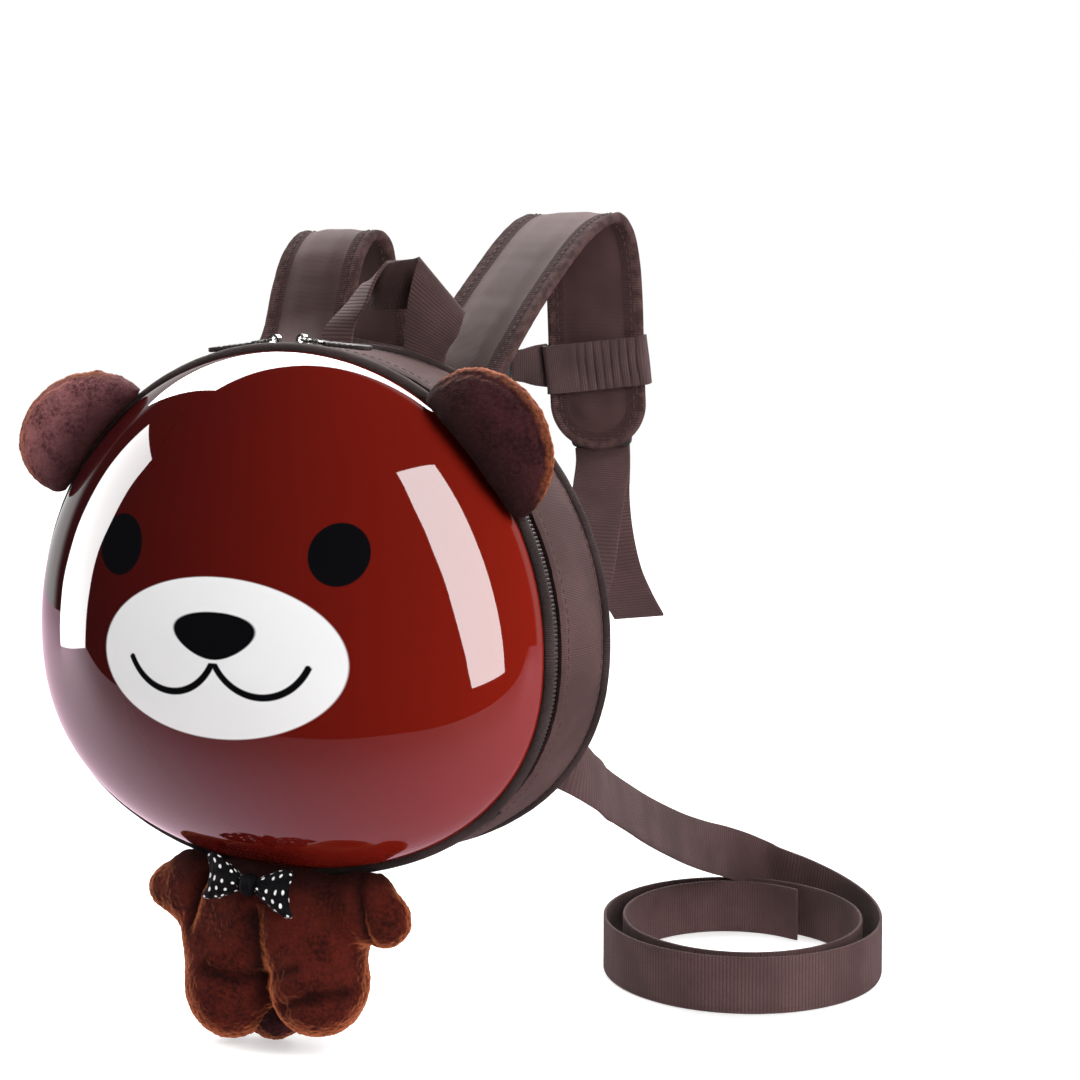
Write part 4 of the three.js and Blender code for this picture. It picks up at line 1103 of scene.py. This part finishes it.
def sewn_end(name, frames):
    """A box of stitches with a cross in it, on the outer face of webbing that is sewn to the back."""
    reach = reach_along(frames)

    def spot(along, across):
        middle, _, wide, out = frames[min(range(len(reach)), key=lambda i: abs(reach[i] - along))]
        rear = out if out.y > 0 else -out
        return bag(*(middle + wide * across + rear * (WEBBING["thickness"] / 2 + STITCH["proud"]))), rear

    near, far, half = SEWN_BOX["near"], SEWN_BOX["far"], WEBBING["width"] / 2 - SEWN_BOX["inset"]
    corners = [(near, -half), (far, -half), (far, half), (near, half),
               (near, -half), (far, half), (far, -half), (near, half)]
    line = [spot(*corners[0])]
    for start, end in zip(corners, corners[1:]):
        for k in range(1, SEWN_BOX["parts"] + 1):
            line.append(spot(*(a + (b - a) * k / SEWN_BOX["parts"] for a, b in zip(start, end))))
    return stitch_row(name, line)


buckle_plastic = mottled_finish("buckle_plastic", BUCKLE_DARK, BUCKLE_PALE, scale=160, rough=(500, 0.4, 0.6),
                                grain=(3000, 0.04), Specular_IOR_Level=0.2)
buckle_end = ADJUSTER["height"] / 2 + 2 * ADJUSTER["gap"]
tail_out = ADJUSTER["thick"] + ADJUSTER["gap"] + WEBBING["thickness"] / 2
for side_name, rows, lower, tail in (("left", LEFT_STRAP, LEFT_LOWER, LEFT_TAIL),
                                     ("right", RIGHT_STRAP, RIGHT_LOWER, RIGHT_TAIL)):
    lower_rows = lower + [adjuster_row(rows, ADJUSTER["thick"] / 2, buckle_end + ADJUSTER["lead"]),
                          adjuster_row(rows, ADJUSTER["thick"] / 2, buckle_end)]
    lower_webbing, lower_frames = strip(f"lower_webbing_{side_name}", lower_rows, level_width)
    fitted(lower_webbing, webbing_cloth, "webbing", f"strap_webbing_{side_name}")
    tail_rows = [adjuster_row(rows, tail_out, 0)] + tail
    tail_webbing, _ = strip(f"tail_webbing_{side_name}", tail_rows, level_width)
    fitted(tail_webbing, webbing_cloth, "webbing", f"strap_tail_{side_name}")
    buckle = tapered_buckle(f"ladder_buckle_{side_name}", f"strap_adjuster_{side_name}", rows)
    fitted(buckle, buckle_plastic, "plastic", f"strap_adjuster_{side_name}")
    fitted(sewn_end(f"lower_webbing_stitches_{side_name}", lower_frames), thread, "webbing")
fitted(sewn_end("leash_stitches", leash_frames), thread, "webbing")

# The chest strap: a gathered elastic band round each pad, a short webbing from each, and a fastened buckle.
# The buckle is hidden behind the bag in the photo.
CHEST = {"level": 108.6, "height": 22.0, "wall": 1.2, "tilt": 5.0, "leave": 1.6, "around": 240, "across": 16,
         "girth": 112.0}
BAND_HALF = {"x": 22.9, "y": 4.6, "corner": 2.0}
GATHER = {"pitch": 3.9, "depth": 1.0, "sharp": 0.7, "fade_from": 14.0, "fade_over": 10.0, "held": 0.6,
          "held_over": 0.08}
GATHER_DRIFT = {"sway": 0.2, "uneven": 0.35, "fine": 0.15}
BAND_HEM = {"height": 0.25, "over": 0.06}
CHEST_WIDTHS = (16.0, 20.0)
CHEST_TWIST = [(0, 38), (0.4, 30), (0.75, 8), (1.11, 0)]  # shares of the way to the band, and degrees
BUCKLE_HALF = 17.0
BUCKLE_LAP = 3.0
BAND_BROWN = (0.07, 0.042, 0.042)
BAND_GROOVE = (0.05, 0.03, 0.03)


def band_point(u):
    """A point of the band's rounded section at a share round it, with its outward direction."""
    x, y, r = BAND_HALF["x"], BAND_HALF["y"], BAND_HALF["corner"]
    arc = math.pi * r / 2
    sides = [2 * (x - r), 2 * (y - r), 2 * (x - r), 2 * (y - r)]
    at = (u % 1.0) * (sum(sides) + 4 * arc)
    starts = [((-x + r, -y), (1, 0)), ((x, -y + r), (0, 1)), ((x - r, y), (-1, 0)), ((-x, y - r), (0, -1))]
    for side, ((px, py), (dx, dy)) in zip(sides, starts):
        if at <= side:
            return (px + dx * at, py + dy * at), (dy, -dx)
        at -= side
        if at <= arc:
            turn = at / r
            cx, cy = px + dx * side - dy * r, py + dy * side + dx * r
            ox, oy = dy * math.cos(turn) + dx * math.sin(turn), -dx * math.cos(turn) + dy * math.sin(turn)
            return (cx + ox * r, cy + oy * r), (ox, oy)
        at -= arc
    return (-x + r, -y), (0, -1)


def chest_band(name, rows, inner_side):
    """A gathered band round a pad; its gathers fade towards the chest strap's side."""
    middle, level_run, level, out = frame_at_level(rows, CHEST["level"])
    tilt = math.radians(CHEST["tilt"]) * inner_side
    wide = level * math.cos(tilt) - level_run * math.sin(tilt)
    run = level_run * math.cos(tilt) + level * math.sin(tilt)

    def place(u, v):
        (x, y), (ox, oy) = band_point(u)
        edge = min(v, 1 - v)
        fade = clamped((inner_side * x + GATHER["fade_from"]) / GATHER["fade_over"])
        uneven = noise.noise(Vector((GATHER_DRIFT["fine"] * x, y, 2 * v)))
        drift = GATHER_DRIFT["sway"] * math.sin(3 * v) + GATHER_DRIFT["uneven"] * uneven
        folds = abs(math.sin(math.pi * x / GATHER["pitch"] + drift)) ** GATHER["sharp"]
        free = 1 - math.exp(-edge / GATHER["held_over"]) * GATHER["held"]
        lift = GATHER["depth"] * fade * folds * free
        lift += BAND_HEM["height"] * math.exp(-edge / BAND_HEM["over"])
        flat = wide * (x + ox * lift) + out * (y + oy * lift)
        return bag(*(middle + flat + run * (v - 0.5) * CHEST["height"]))

    band = laid_grid(name, CHEST["around"], CHEST["across"], place)
    measure_cloth(band, CHEST["girth"], CHEST["height"])
    welded(band)
    worked(band, "SOLIDIFY", thickness=CHEST["wall"] * MM, offset=0)
    rounded(band)
    return band


def chest_end(rows, side):
    """Where the chest strap leaves a pad's band."""
    middle, _, wide, _ = frame_at_level(rows, CHEST["level"])
    return middle - wide * side * (BAND_HALF["x"] + CHEST["leave"])


def chest_width(twist):
    """The chest strap's width: upright at the band, turned as it runs to the buckle."""
    return Vector((0, -math.sin(twist), math.cos(twist)))


chest_right, chest_left = chest_end(RIGHT_STRAP, 1), chest_end(LEFT_STRAP, -1)
chest_run = (chest_right - chest_left).normalized()
chest_middle = (chest_right + chest_left) / 2
band_cloth = cloth_finish("gathered_band", BAND_BROWN, BAND_GROOVE, rib=0.9, thread=0.7, depth=0.1,
                          patch=0.15)
for side_name, rows, sign, far in (("left", LEFT_STRAP, -1, chest_left),
                                   ("right", RIGHT_STRAP, 1, chest_right)):
    band = chest_band(f"gathered_band_{side_name}", rows, sign)
    fitted(band, band_cloth, "webbing", f"chest_band_{side_name}")
    near = chest_middle + chest_run * sign * (BUCKLE_HALF - BUCKLE_LAP)
    chest_rows = [(*near.lerp(far, share), twist) for share, twist in CHEST_TWIST]
    chest_webbing, _ = strip(f"chest_webbing_{side_name}", chest_rows, chest_width, CHEST_WIDTHS)
    fitted(chest_webbing, band_cloth, "webbing", f"chest_strap_{side_name}")
refinish("chest_buckle", buckle_plastic)

# The plush pieces: two ears pinched into the rim's seam, and a small body and tail that hang below the bag.
# They are short pile plush round soft stuffing, so they swell between their seams.
PLUSH_BROWN = (0.056, 0.0074, 0.004)
PLUSH_DEEP = (0.017, 0.0027, 0.0019)
# The body's creases are painted darker, as painted shade.
CREASE_PAINTED_SHADE = 0.4
EAR_BROWN = (0.034, 0.0092, 0.0102)
EAR_DEEP = (0.015, 0.0042, 0.005)
EAR_PAINTED_PALER = (0.22, 0.082, 0.087)  # the left ear's pile is painted paler, as painted light, six to nine times the right ear's
PAINTED_PALER_DEEP = 4.4
# The ears' turned sides are painted a brighter orange, as painted rim light.
EAR_PAINTED_RIM_LIGHT = (0.14, 0.037, 0.016)
PILE_TINT = (0.8, 0.26, 0.12)
# A bright orange painted on the pile at grazing angles, as painted sheen.
PAINTED_SHEEN_FRINGE = (0.46, 0.13, 0.05)
# Columns: middle x, y and z, half width, half depth, half height, turn about the front in degrees.
PLUSH_FORMS = [
    (-4.5, 3, -117, 44, 22, 31, 0), (-25.5, -1, -145, 20, 21, 24.5, -4), (17.5, -2, -140, 22, 21, 23.5, 6),
    (-35, 1, -127, 13, 17, 20, 0), (-41, 1, -105, 18, 14, 16, -12), (-54, 1, -108, 14.5, 10.5, 11.5, -14),
    (-47, 1, -113, 11, 12, 10, -25), (37, 0, -107, 15, 13, 17, 32), (48.5, -1, -112, 12, 11.5, 12, 38),
]
TAIL_FORMS = [(-10, 7, -157, 14.5, 11, 13, 0)]
BALL_STEPS = {"segments": 40, "ring_count": 20}
# Columns: depth, half width, then the line's places in x and z.
PLUSH_CREASES = [
    (3.6, 5.0, [(-4, -112), (-3.5, -132), (-2.5, -154)]),
    (2.6, 3.0, [(-27, -136), (-14, -140), (0, -137)]), (2.6, 3.0, [(12, -147), (24, -142), (35, -140.5)]),
    (1.0, 2.4, [(8, -135), (18, -131)]), (2.4, 2.4, [(-38, -120), (-34, -106), (-28, -92)]),
    (2.0, 2.4, [(46, -120), (43, -106), (39, -92)]),
]
# mark is how strongly the creases are painted darker, as painted shade.
CREASED = {"from": 4.0, "over": 10.0, "mark": 0.75}
UNDER_BAG = {"grow": 4.0, "seam": 0.5, "over": 6.0, "off_table": 0.6}
# Columns: piece, plain solid, forms, voxel, most swell, smoothing steps, fill.
STUFFED = [
    ("plush_body_pile", "plush_body", PLUSH_FORMS, 3.4, 3.0, 4, 0.8),
    ("plush_tail_pile", "plush_tail", TAIL_FORMS, 2.4, 1.5, 3, 0.8),
    ("ear_pile_left", "ear_left", None, 2.6, 3.0, 5, 0.7),
    ("ear_pile_right", "ear_right", None, 2.6, 3.0, 5, 0.7),
]
STUFFING = {"pinned": 1.07, "pressure": 4, "frames": 20}  # pinned is a share of the head's outline
EAR_FRONT = {"from": -1.0, "depth": 9.0, "forward": 2.5, "over": 3.0, "clear": 0.9, "near": 1.02,
             "fade": 0.35}
EAR_SEAM = {"facing": -0.8, "width": 0.07, "depth": 0.9}
# Where the ear's sides turn away from the front, for the painted rim light.
EAR_RIM_LIGHT_MARK = {"turned": -0.74, "turn": 0.1, "from": 1.1, "over": 0.08}
# Columns: middle and shift of the ear along the rim in degrees, its growth along and away, its lean.
EAR_SET = {"left": (141.0, -4.25, 1.055, 1.09, 0.45), "right": (41.0, -0.7, 1.09, 1.02, 0.0)}
EAR_LEAN_OVER = 140.0
RIM_SEARCH = {"from": 80.0, "to": 130.0, "halvings": 18}
NAP = {"height": 0.35, "size": 1.5, "coarse": 2.7, "coarse_share": 0.6, "from": 1.05, "over": 0.06}
PILE_TUFTS = {"scale": 620, "soft": 0.2}
PILE_CRUSHED = {"scale": 95, "soft": 0.14, "detail": 4}
PILE_SHADES = {"tuft": 1.6, "painted_light": 0.4, "sewn": 0.45}
PILE_SHARES = {"tuft": 0.6, "sewn": 0.85}
PILE_GRAIN = {"scale": 1400, "detail": 4, "depth": 0.6}
# Where the painted sheen fades in: away from the seam, at grazing angles, and on the tufts.
PAINTED_SHEEN_FROM = {"sewn": (0.0, 0.7), "facing": (0.3, 0.95), "tufts": (0.5, 1.0)}
SEAM_SHADE_REACH = {"from": 1.02, "wide": 0.17}  # shares of the head's outline, where the pile beside the seam is painted darker, as shade next to the bag


def outline_share(x, z):
    """How far out a place is on the head: 1 at the outline."""
    height, bend = head_half(z)
    return math.hypot(abs(x / HEAD["half_width"]) ** (HEAD["side"] / 2), abs(z / height) ** (bend / 2))


def swell(piece, most):
    """Blows the stuffed piece up with cloth pressure; what is near the bag stays, and no point moves far."""
    pinned = piece.vertex_groups.new(name="sewn")
    for vertex in piece.data.vertices:
        place = in_bag(vertex.co)
        if outline_share(place.x, place.z) < STUFFING["pinned"]:
            pinned.add([vertex.index], 1.0, "REPLACE")
    rest = [vertex.co.copy() for vertex in piece.data.vertices]
    cloth = piece.modifiers.new("stuffing", "CLOTH")
    cloth.settings.use_pressure = True
    cloth.settings.uniform_pressure_force = STUFFING["pressure"]
    cloth.settings.vertex_group_mass = "sewn"
    cloth.settings.effector_weights.gravity = 0
    scene = bpy.context.scene
    for number in range(1, STUFFING["frames"] + 1):
        scene.frame_set(number)
    swollen = piece.evaluated_get(bpy.context.evaluated_depsgraph_get()).data
    moves = [vertex.co - start for vertex, start in zip(swollen.vertices, rest)]
    piece.modifiers.remove(cloth)
    scene.frame_set(1)
    for vertex, start, move in zip(piece.data.vertices, rest, moves):
        vertex.co = start + move * min(1.0, most * MM / max(move.length, 1e-9))


def underside(x, y):
    """The height that a piece below the bag stays under: the piping's lowest line, or the shell's."""
    deep = clamped(-y / SHELL["depth"])
    share = (1 - deep ** SHELL["rise_to"]) ** (1 / SHELL["rise_from"])
    grow = UNDER_BAG["grow"] * max(0.0, 1 + min(0.0, y) / UNDER_BAG["over"]) + UNDER_BAG["seam"]
    across = abs(x) / ((HEAD["half_width"] + grow) * max(share, 0.01))
    return -(HEAD["bottom"] + grow) * share * max(0.0, 1 - across ** HEAD["side"]) ** (1 / HEAD["chin"])


def rim_reach(turn):
    """How far the rim is from the head's middle in a direction."""
    low, high = RIM_SEARCH["from"], RIM_SEARCH["to"]
    for _ in range(RIM_SEARCH["halvings"]):
        middle = (low + high) / 2
        inside = outline_share(middle * math.cos(turn), middle * math.sin(turn)) < 1
        low, high = (middle, high) if inside else (low, middle)
    return low


def set_ear(piece, side):
    """Moves and grows the ear along the rim that it is pinched into, and leans it."""
    middle, shift, along, away, lean = EAR_SET[side]

    def along_rim(place, _):
        turn = math.atan2(place.z, place.x)
        height = math.hypot(place.x, place.z) - rim_reach(turn)
        turn = math.radians(middle + shift) + (turn - math.radians(middle)) * along
        turn += lean * max(0.0, height) / EAR_LEAN_OVER
        reach = rim_reach(turn) + height * away
        return reach * math.cos(turn), place.y, reach * math.sin(turn)

    reshape(piece, along_rim)


def round_forms(name, forms):
    """Balls set into each other, one for each form."""
    balls = []
    for x, y, z, half_width, half_depth, half_height, turn in forms:
        ball = primitive(bpy.ops.mesh.primitive_uv_sphere_add, radius=1, **BALL_STEPS)
        lean = Matrix.Rotation(math.radians(turn), 3, "Y")
        for vertex in ball.data.vertices:
            point = Vector((vertex.co.x * half_width, vertex.co.y * half_depth, vertex.co.z * half_height))
            vertex.co = bag(*(Vector((x, y, z)) + lean @ point))
        balls.append(ball)
    picked(balls[0])
    for ball in balls:
        ball.select_set(True)
    if len(balls) > 1:
        bpy.ops.object.join()
    balls[0].name = name
    return balls[0]


def stuffed(name, node, forms, voxel, most, soft_steps):
    """A stuffed plush piece from its forms or its plain solid: remeshed, swollen and smoothed."""
    if forms:
        piece = round_forms(name, forms)
    else:
        piece = copy_of(name, node)
        set_ear(piece, node.removeprefix("ear_"))
    worked(piece, "REMESH", mode="VOXEL", voxel_size=voxel * MM)
    worked(piece, "SMOOTH", factor=0.5, iterations=soft_steps)
    swell(piece, most)
    worked(piece, "SMOOTH", factor=0.5, iterations=3)
    for _ in range(2):
        worked(piece, "SUBSURF", levels=1, render_levels=1)
    return piece


def off_line(x, z, line):
    """The distance of a place from a line of places."""
    spot, best = Vector((x, z)), math.inf
    for start, end in zip(line, line[1:]):
        a, b = Vector(start), Vector(end)
        best = min(best, (spot - a.lerp(b, clamped((spot - a).dot(b - a) / (b - a).length_squared))).length)
    return best


def crease_front(piece):
    """Presses creases into the body's front, and keeps its top under the bag and its feet off the table."""
    marks = []

    def pressed(place, _):
        front = clamped((CREASED["from"] - place.y) / CREASED["over"])
        shares = [front * math.exp(-(off_line(place.x, place.z, line) / half) ** 2)
                  for _, half, line in PLUSH_CREASES]
        # The creases are marked for painted shade.
        marks.append(CREASED["mark"] * max(shares))
        place.y += sum(crease[0] * share for crease, share in zip(PLUSH_CREASES, shares))
        lowest = TABLE_LEVEL + UNDER_BAG["off_table"]
        place.z = max(lowest, min(place.z, underside(place.x, place.y)))
        return place

    reshape(piece, pressed)
    mark_points(piece, "pile_painted_marks", marks)


def shape_ear(piece):
    """Swells the ear's front over the shell's edge, and draws its seam in behind the front panel."""
    marks = []

    def shaped(place, normal):
        share = outline_share(place.x, place.z)
        # The ear's sides, turned away from the front, are marked for a painted rim light.
        turned = clamped((normal.y - EAR_RIM_LIGHT_MARK["turned"]) / EAR_RIM_LIGHT_MARK["turn"])
        marks.append(turned * clamped((share - EAR_RIM_LIGHT_MARK["from"]) / EAR_RIM_LIGHT_MARK["over"]))
        front = clamped((EAR_FRONT["from"] - place.y) / EAR_FRONT["depth"])
        near = max(0.0, 1 - max(0.0, share - EAR_FRONT["near"]) / EAR_FRONT["fade"])
        inward = Vector((-place.x, 0, -place.z)).normalized()
        place += Vector((0, -EAR_FRONT["forward"] * front, 0)) + inward * (EAR_FRONT["over"] * front * near)
        seam = math.exp(-((normal.y - EAR_SEAM["facing"]) / EAR_SEAM["width"]) ** 2)
        place -= normal * (EAR_SEAM["depth"] * seam * (1 - near))
        share = outline_share(place.x, place.z)
        if share < 1:
            place.y = min(place.y, -shell_rise(share) - EAR_FRONT["clear"])
        return place

    reshape(piece, shaped)
    mark_points(piece, "pile_painted_marks", marks)


def raise_nap(piece):
    """Raises the pile in small tufts, and marks the pile beside the piece's seam, next to the bag, for
    painted shade.
    """
    sewn = []

    def tufted(place, normal):
        share = outline_share(place.x, place.z)
        sewn.append(clamped(1 - (share - SEAM_SHADE_REACH["from"]) / SEAM_SHADE_REACH["wide"]))
        coarse = noise.noise(place / (NAP["coarse"] * NAP["size"]))
        tuft = noise.noise(place / NAP["size"]) + NAP["coarse_share"] * coarse
        return place + normal * (NAP["height"] * tuft * clamped((share - NAP["from"]) / NAP["over"]))

    reshape(piece, tufted)
    mark_points(piece, "pile_seam_shade", sewn)


def plush_finish(name, colour, deep, painted_light):
    """Short pile: crushed patches of lighter and darker nap, painted light where the piece is marked for it
    (shade in the creases, a rim light on the ears' sides), painted shade beside the seam next to the bag, and
    a painted
    sheen: a bright fringe at grazing angles."""
    material, tree = new_finish(name, Roughness=0.9, Specular_IOR_Level=0.05, Sheen_Weight=0.06,
                                Sheen_Roughness=0.3, Sheen_Tint=PILE_TINT)
    facing = Value(tree, tree.nodes.new("ShaderNodeLayerWeight").outputs["Facing"])
    sewn = reading(tree, "pile_seam_shade")
    tufts = patches(tree, **PILE_TUFTS)
    pile = blend(patches(tree, **PILE_CRUSHED), deep, colour)
    pile = blend(tufts * PILE_SHARES["tuft"], pile, shaded(colour, PILE_SHADES["tuft"]))
    # Painted light where the piece is marked: shade in the body's creases, a rim light on the ears' sides.
    mark = blend(tufts, shaded(painted_light, PILE_SHADES["painted_light"]), painted_light)
    pile = blend(reading(tree, "pile_painted_marks"), pile, mark)
    # Painted shade beside the seam, next to the bag.
    pile = blend(sewn * PILE_SHARES["sewn"], pile, shaded(deep, PILE_SHADES["sewn"]))
    # Painted sheen: a bright fringe at grazing angles, kept away from the seam.
    painted_sheen = spread(sewn, *PAINTED_SHEEN_FROM["sewn"], 1.0, 0.0) * spread(facing, *PAINTED_SHEEN_FROM["facing"])
    painted_sheen = painted_sheen * spread(tufts, 0.0, 1.0, *PAINTED_SHEEN_FROM["tufts"])
    set_inputs(tree, Base_Color=blend(painted_sheen, pile, PAINTED_SHEEN_FRINGE))
    relief(mottle(tree, PILE_GRAIN["scale"], PILE_GRAIN["detail"]), PILE_GRAIN["depth"])
    return material


piles = {
    "plush_body": plush_finish("plush_pile", PLUSH_BROWN, PLUSH_DEEP, shaded(PLUSH_DEEP, CREASE_PAINTED_SHADE)),
    # The tail has the ears' darker pile, as painted shade behind the body.
    "plush_tail": plush_finish("tail_pile", EAR_BROWN, EAR_DEEP, EAR_DEEP),
    # The left ear's pile is painted paler, as painted light.
    "ear_left": plush_finish("ear_pile_painted_paler", EAR_PAINTED_PALER, shaded(EAR_DEEP, PAINTED_PALER_DEEP), EAR_PAINTED_RIM_LIGHT),
    "ear_right": plush_finish("ear_pile", EAR_BROWN, EAR_DEEP, EAR_PAINTED_RIM_LIGHT),
}
for piece_name, node, forms, voxel, most, soft_steps, fill in STUFFED:
    plush = stuffed(piece_name, node, forms, voxel, most, soft_steps)
    if forms:
        crease_front(plush)
    else:
        shape_ear(plush)
    raise_nap(plush)
    rounded(plush, angle=180)
    fitted(plush, piles[node], "plush" if forms else "ear", node)

# The bow: a dotted satin ribbon, folded into two loops that a plain knot draws in at the middle.
# It is sewn on the plush body's chest, just under the shell.
BOW = {"x": -2.8, "y": -22.05, "z": -98.0, "knot": 8.0, "loop": 17.0, "height": 20.0, "depth": 7.0,
       "tilt": 6.0, "notch": 2.6, "clear": 0.3, "along": 36, "around": 56}
BOW_FOLD = {"from": 0.86, "reach": 1.6, "thin": 0.18}
BOW_PLEAT = {"depth": 0.16, "count": 8, "wave": 0.05}
BOW_CRUMPLE = {"height": 0.7, "x": 0.22, "z": 0.3, "ragged": 1.3, "ragged_x": 0.16, "ragged_z": 0.2,
               "tall": 0.1}
# Columns: share of the loop's length, share of its height, share of its depth.
BOW_SECTIONS = [(0.0, 0.36, 0.7), (0.3, 0.62, 0.95), (0.65, 0.88, 1.0), (0.9, 1.0, 0.85), (1.0, 0.97, 0.6)]
BOW_CLOTH = {"along": 1.15, "around": 2.2}  # the flat ribbon in lengths and heights of a loop
KNOT = {"x": 4.0, "y": 4.4, "z": 4.9, "pleat": 0.06, "pleats": 7, "around": 42, "rings": 20, "girth": 26.0,
        "wide": 12.0}
DOT = {"pitch": 5.0, "row_pitch": 4.0, "radius": 0.8, "edge": 0.15, "stray": 0.62}
SATIN_WEAVE = {"rib": 0.5, "thread": 0.4, "depth": 0.06, "patch_scale": 300}
SATIN_DARK = (0.0012, 0.0012, 0.0016)
SATIN_PALE = (0.003, 0.003, 0.0036)
DOT_WHITE = (0.8, 0.8, 0.8)


def bow_share(along, column):
    """A column of the bow's sections at a share along its loop."""
    for low, high in zip(BOW_SECTIONS, BOW_SECTIONS[1:]):
        if along <= high[0]:
            return low[column] + (high[column] - low[column]) * eased((along - low[0]) / (high[0] - low[0]))
    return BOW_SECTIONS[-1][column]


def bow_point(x, y, z):
    """A place in the bow, from its middle, with the whole bow tilted."""
    tilt = math.radians(BOW["tilt"])
    return bag(BOW["x"] + x * math.cos(tilt) + z * math.sin(tilt), BOW["y"] + y,
               BOW["z"] + z * math.cos(tilt) - x * math.sin(tilt))


def bow_loop(name, side):
    """One loop of ribbon, pleated at the knot, with its outer fold rounded."""
    def place(u, v):
        along = min(1.0, u / BOW_FOLD["from"])
        fold = max(0.0, (u - BOW_FOLD["from"]) / (1 - BOW_FOLD["from"]))
        shrink = math.sqrt(max(0.0, 1 - fold * fold))
        turn = 2 * math.pi * v
        pleat = 1 + BOW_PLEAT["depth"] * (1 - along) * math.cos(BOW_PLEAT["count"] * turn)
        pleat += BOW_PLEAT["wave"] * math.sin(3 * turn + 2 * along)
        x = BOW["knot"] / 2 + BOW["clear"] + along * (BOW["loop"] - BOW_FOLD["reach"])
        x += BOW_FOLD["reach"] * fold
        y = BOW["depth"] / 2 * bow_share(along, 2) * shrink * pleat * math.sin(turn)
        thin = 1 - BOW_FOLD["thin"] * (1 - shrink)
        z = BOW["height"] / 2 * bow_share(along, 1) * thin * math.cos(turn)
        x -= BOW["notch"] * along * along * (1 - math.cos(turn) ** 2)
        spot = Vector((BOW_CRUMPLE["x"] * x, BOW_CRUMPLE["z"] * z, 5 * side + v))
        edge = Vector((BOW_CRUMPLE["ragged_x"] * x, BOW_CRUMPLE["ragged_z"] * z, 3 * side))
        ragged = BOW_CRUMPLE["ragged"] * along * noise.noise(edge)
        crumple = BOW_CRUMPLE["height"] * along * noise.noise(spot)
        return bow_point(side * (x + ragged), y + crumple, z * (1 + BOW_CRUMPLE["tall"] * ragged))

    loop = laid_grid(name, BOW["along"], BOW["around"], place)
    measure_cloth(loop, BOW["loop"] * BOW_CLOTH["along"], BOW["height"] * BOW_CLOTH["around"])
    welded(loop)
    worked(loop, "SUBSURF", levels=1, render_levels=1)
    rounded(loop, angle=60)
    return loop


def knot_place(u, v):
    """A point of the pleated knot."""
    turn, rise = 2 * math.pi * u, math.pi * (v - 0.5)
    pleat = 1 + KNOT["pleat"] * math.cos(KNOT["pleats"] * turn)
    return bow_point(KNOT["x"] * math.cos(rise) * math.cos(turn) * pleat,
                     KNOT["y"] * math.cos(rise) * math.sin(turn) * pleat, KNOT["z"] * math.sin(rise))


def stray_dots(tree, along, across):
    """A mask of dots in staggered rows, each of them strayed by chance from its place."""
    rows = across / (DOT["row_pitch"] * MM)
    columns = along / (DOT["pitch"] * MM) + rows.math("FLOOR") * 0.5
    cell = tree.nodes.new("ShaderNodeCombineXYZ")
    chance = tree.nodes.new("ShaderNodeTexWhiteNoise")
    chance.noise_dimensions = "2D"
    stray = tree.nodes.new("ShaderNodeSeparateXYZ")
    feed(cell.inputs[0], columns.math("FLOOR"))
    feed(cell.inputs[1], rows.math("FLOOR"))
    tree.links.new(cell.outputs[0], chance.inputs["Vector"])
    tree.links.new(chance.outputs["Color"], stray.inputs[0])
    dx, dy = (Value(tree, socket) * DOT["stray"] + (place.math("FRACT") - (0.5 + DOT["stray"] / 2))
              for socket, place in zip(stray.outputs, (columns, rows)))
    return within(far_from(dx * DOT["pitch"], dy * DOT["row_pitch"]), DOT["radius"], DOT["edge"])


def ribbon_finish(name, dotted):
    """Black satin, with stray white dots where it isn't the knot."""
    material, tree = new_finish(name, Roughness=0.6, Specular_IOR_Level=0.04)
    along, across, _ = split(tree, "ShaderNodeUVMap", "UV")
    satin = blend(mottle(tree, SATIN_WEAVE["patch_scale"]), SATIN_DARK, SATIN_PALE)
    if dotted:
        satin = blend(stray_dots(tree, along, across), satin, DOT_WHITE)
    set_inputs(tree, Base_Color=satin)
    height, _ = woven(tree, SATIN_WEAVE["rib"], SATIN_WEAVE["thread"], (along, across))
    relief(height, SATIN_WEAVE["depth"])
    return material


ribbon = ribbon_finish("dotted_ribbon", True)
knot_ribbon = ribbon_finish("knot_ribbon", False)
for side_name, sign in (("left", -1), ("right", 1)):
    fitted(bow_loop(f"bow_loop_{side_name}", sign), ribbon, "bow", f"bow_{side_name}")
bow_knot = laid_grid("bow_knot_ribbon", KNOT["around"], KNOT["rings"], knot_place)
measure_cloth(bow_knot, KNOT["girth"], KNOT["wide"])
welded(bow_knot)
rounded(bow_knot, angle=60)
fitted(bow_knot, knot_ribbon, "bow", "bow_knot")
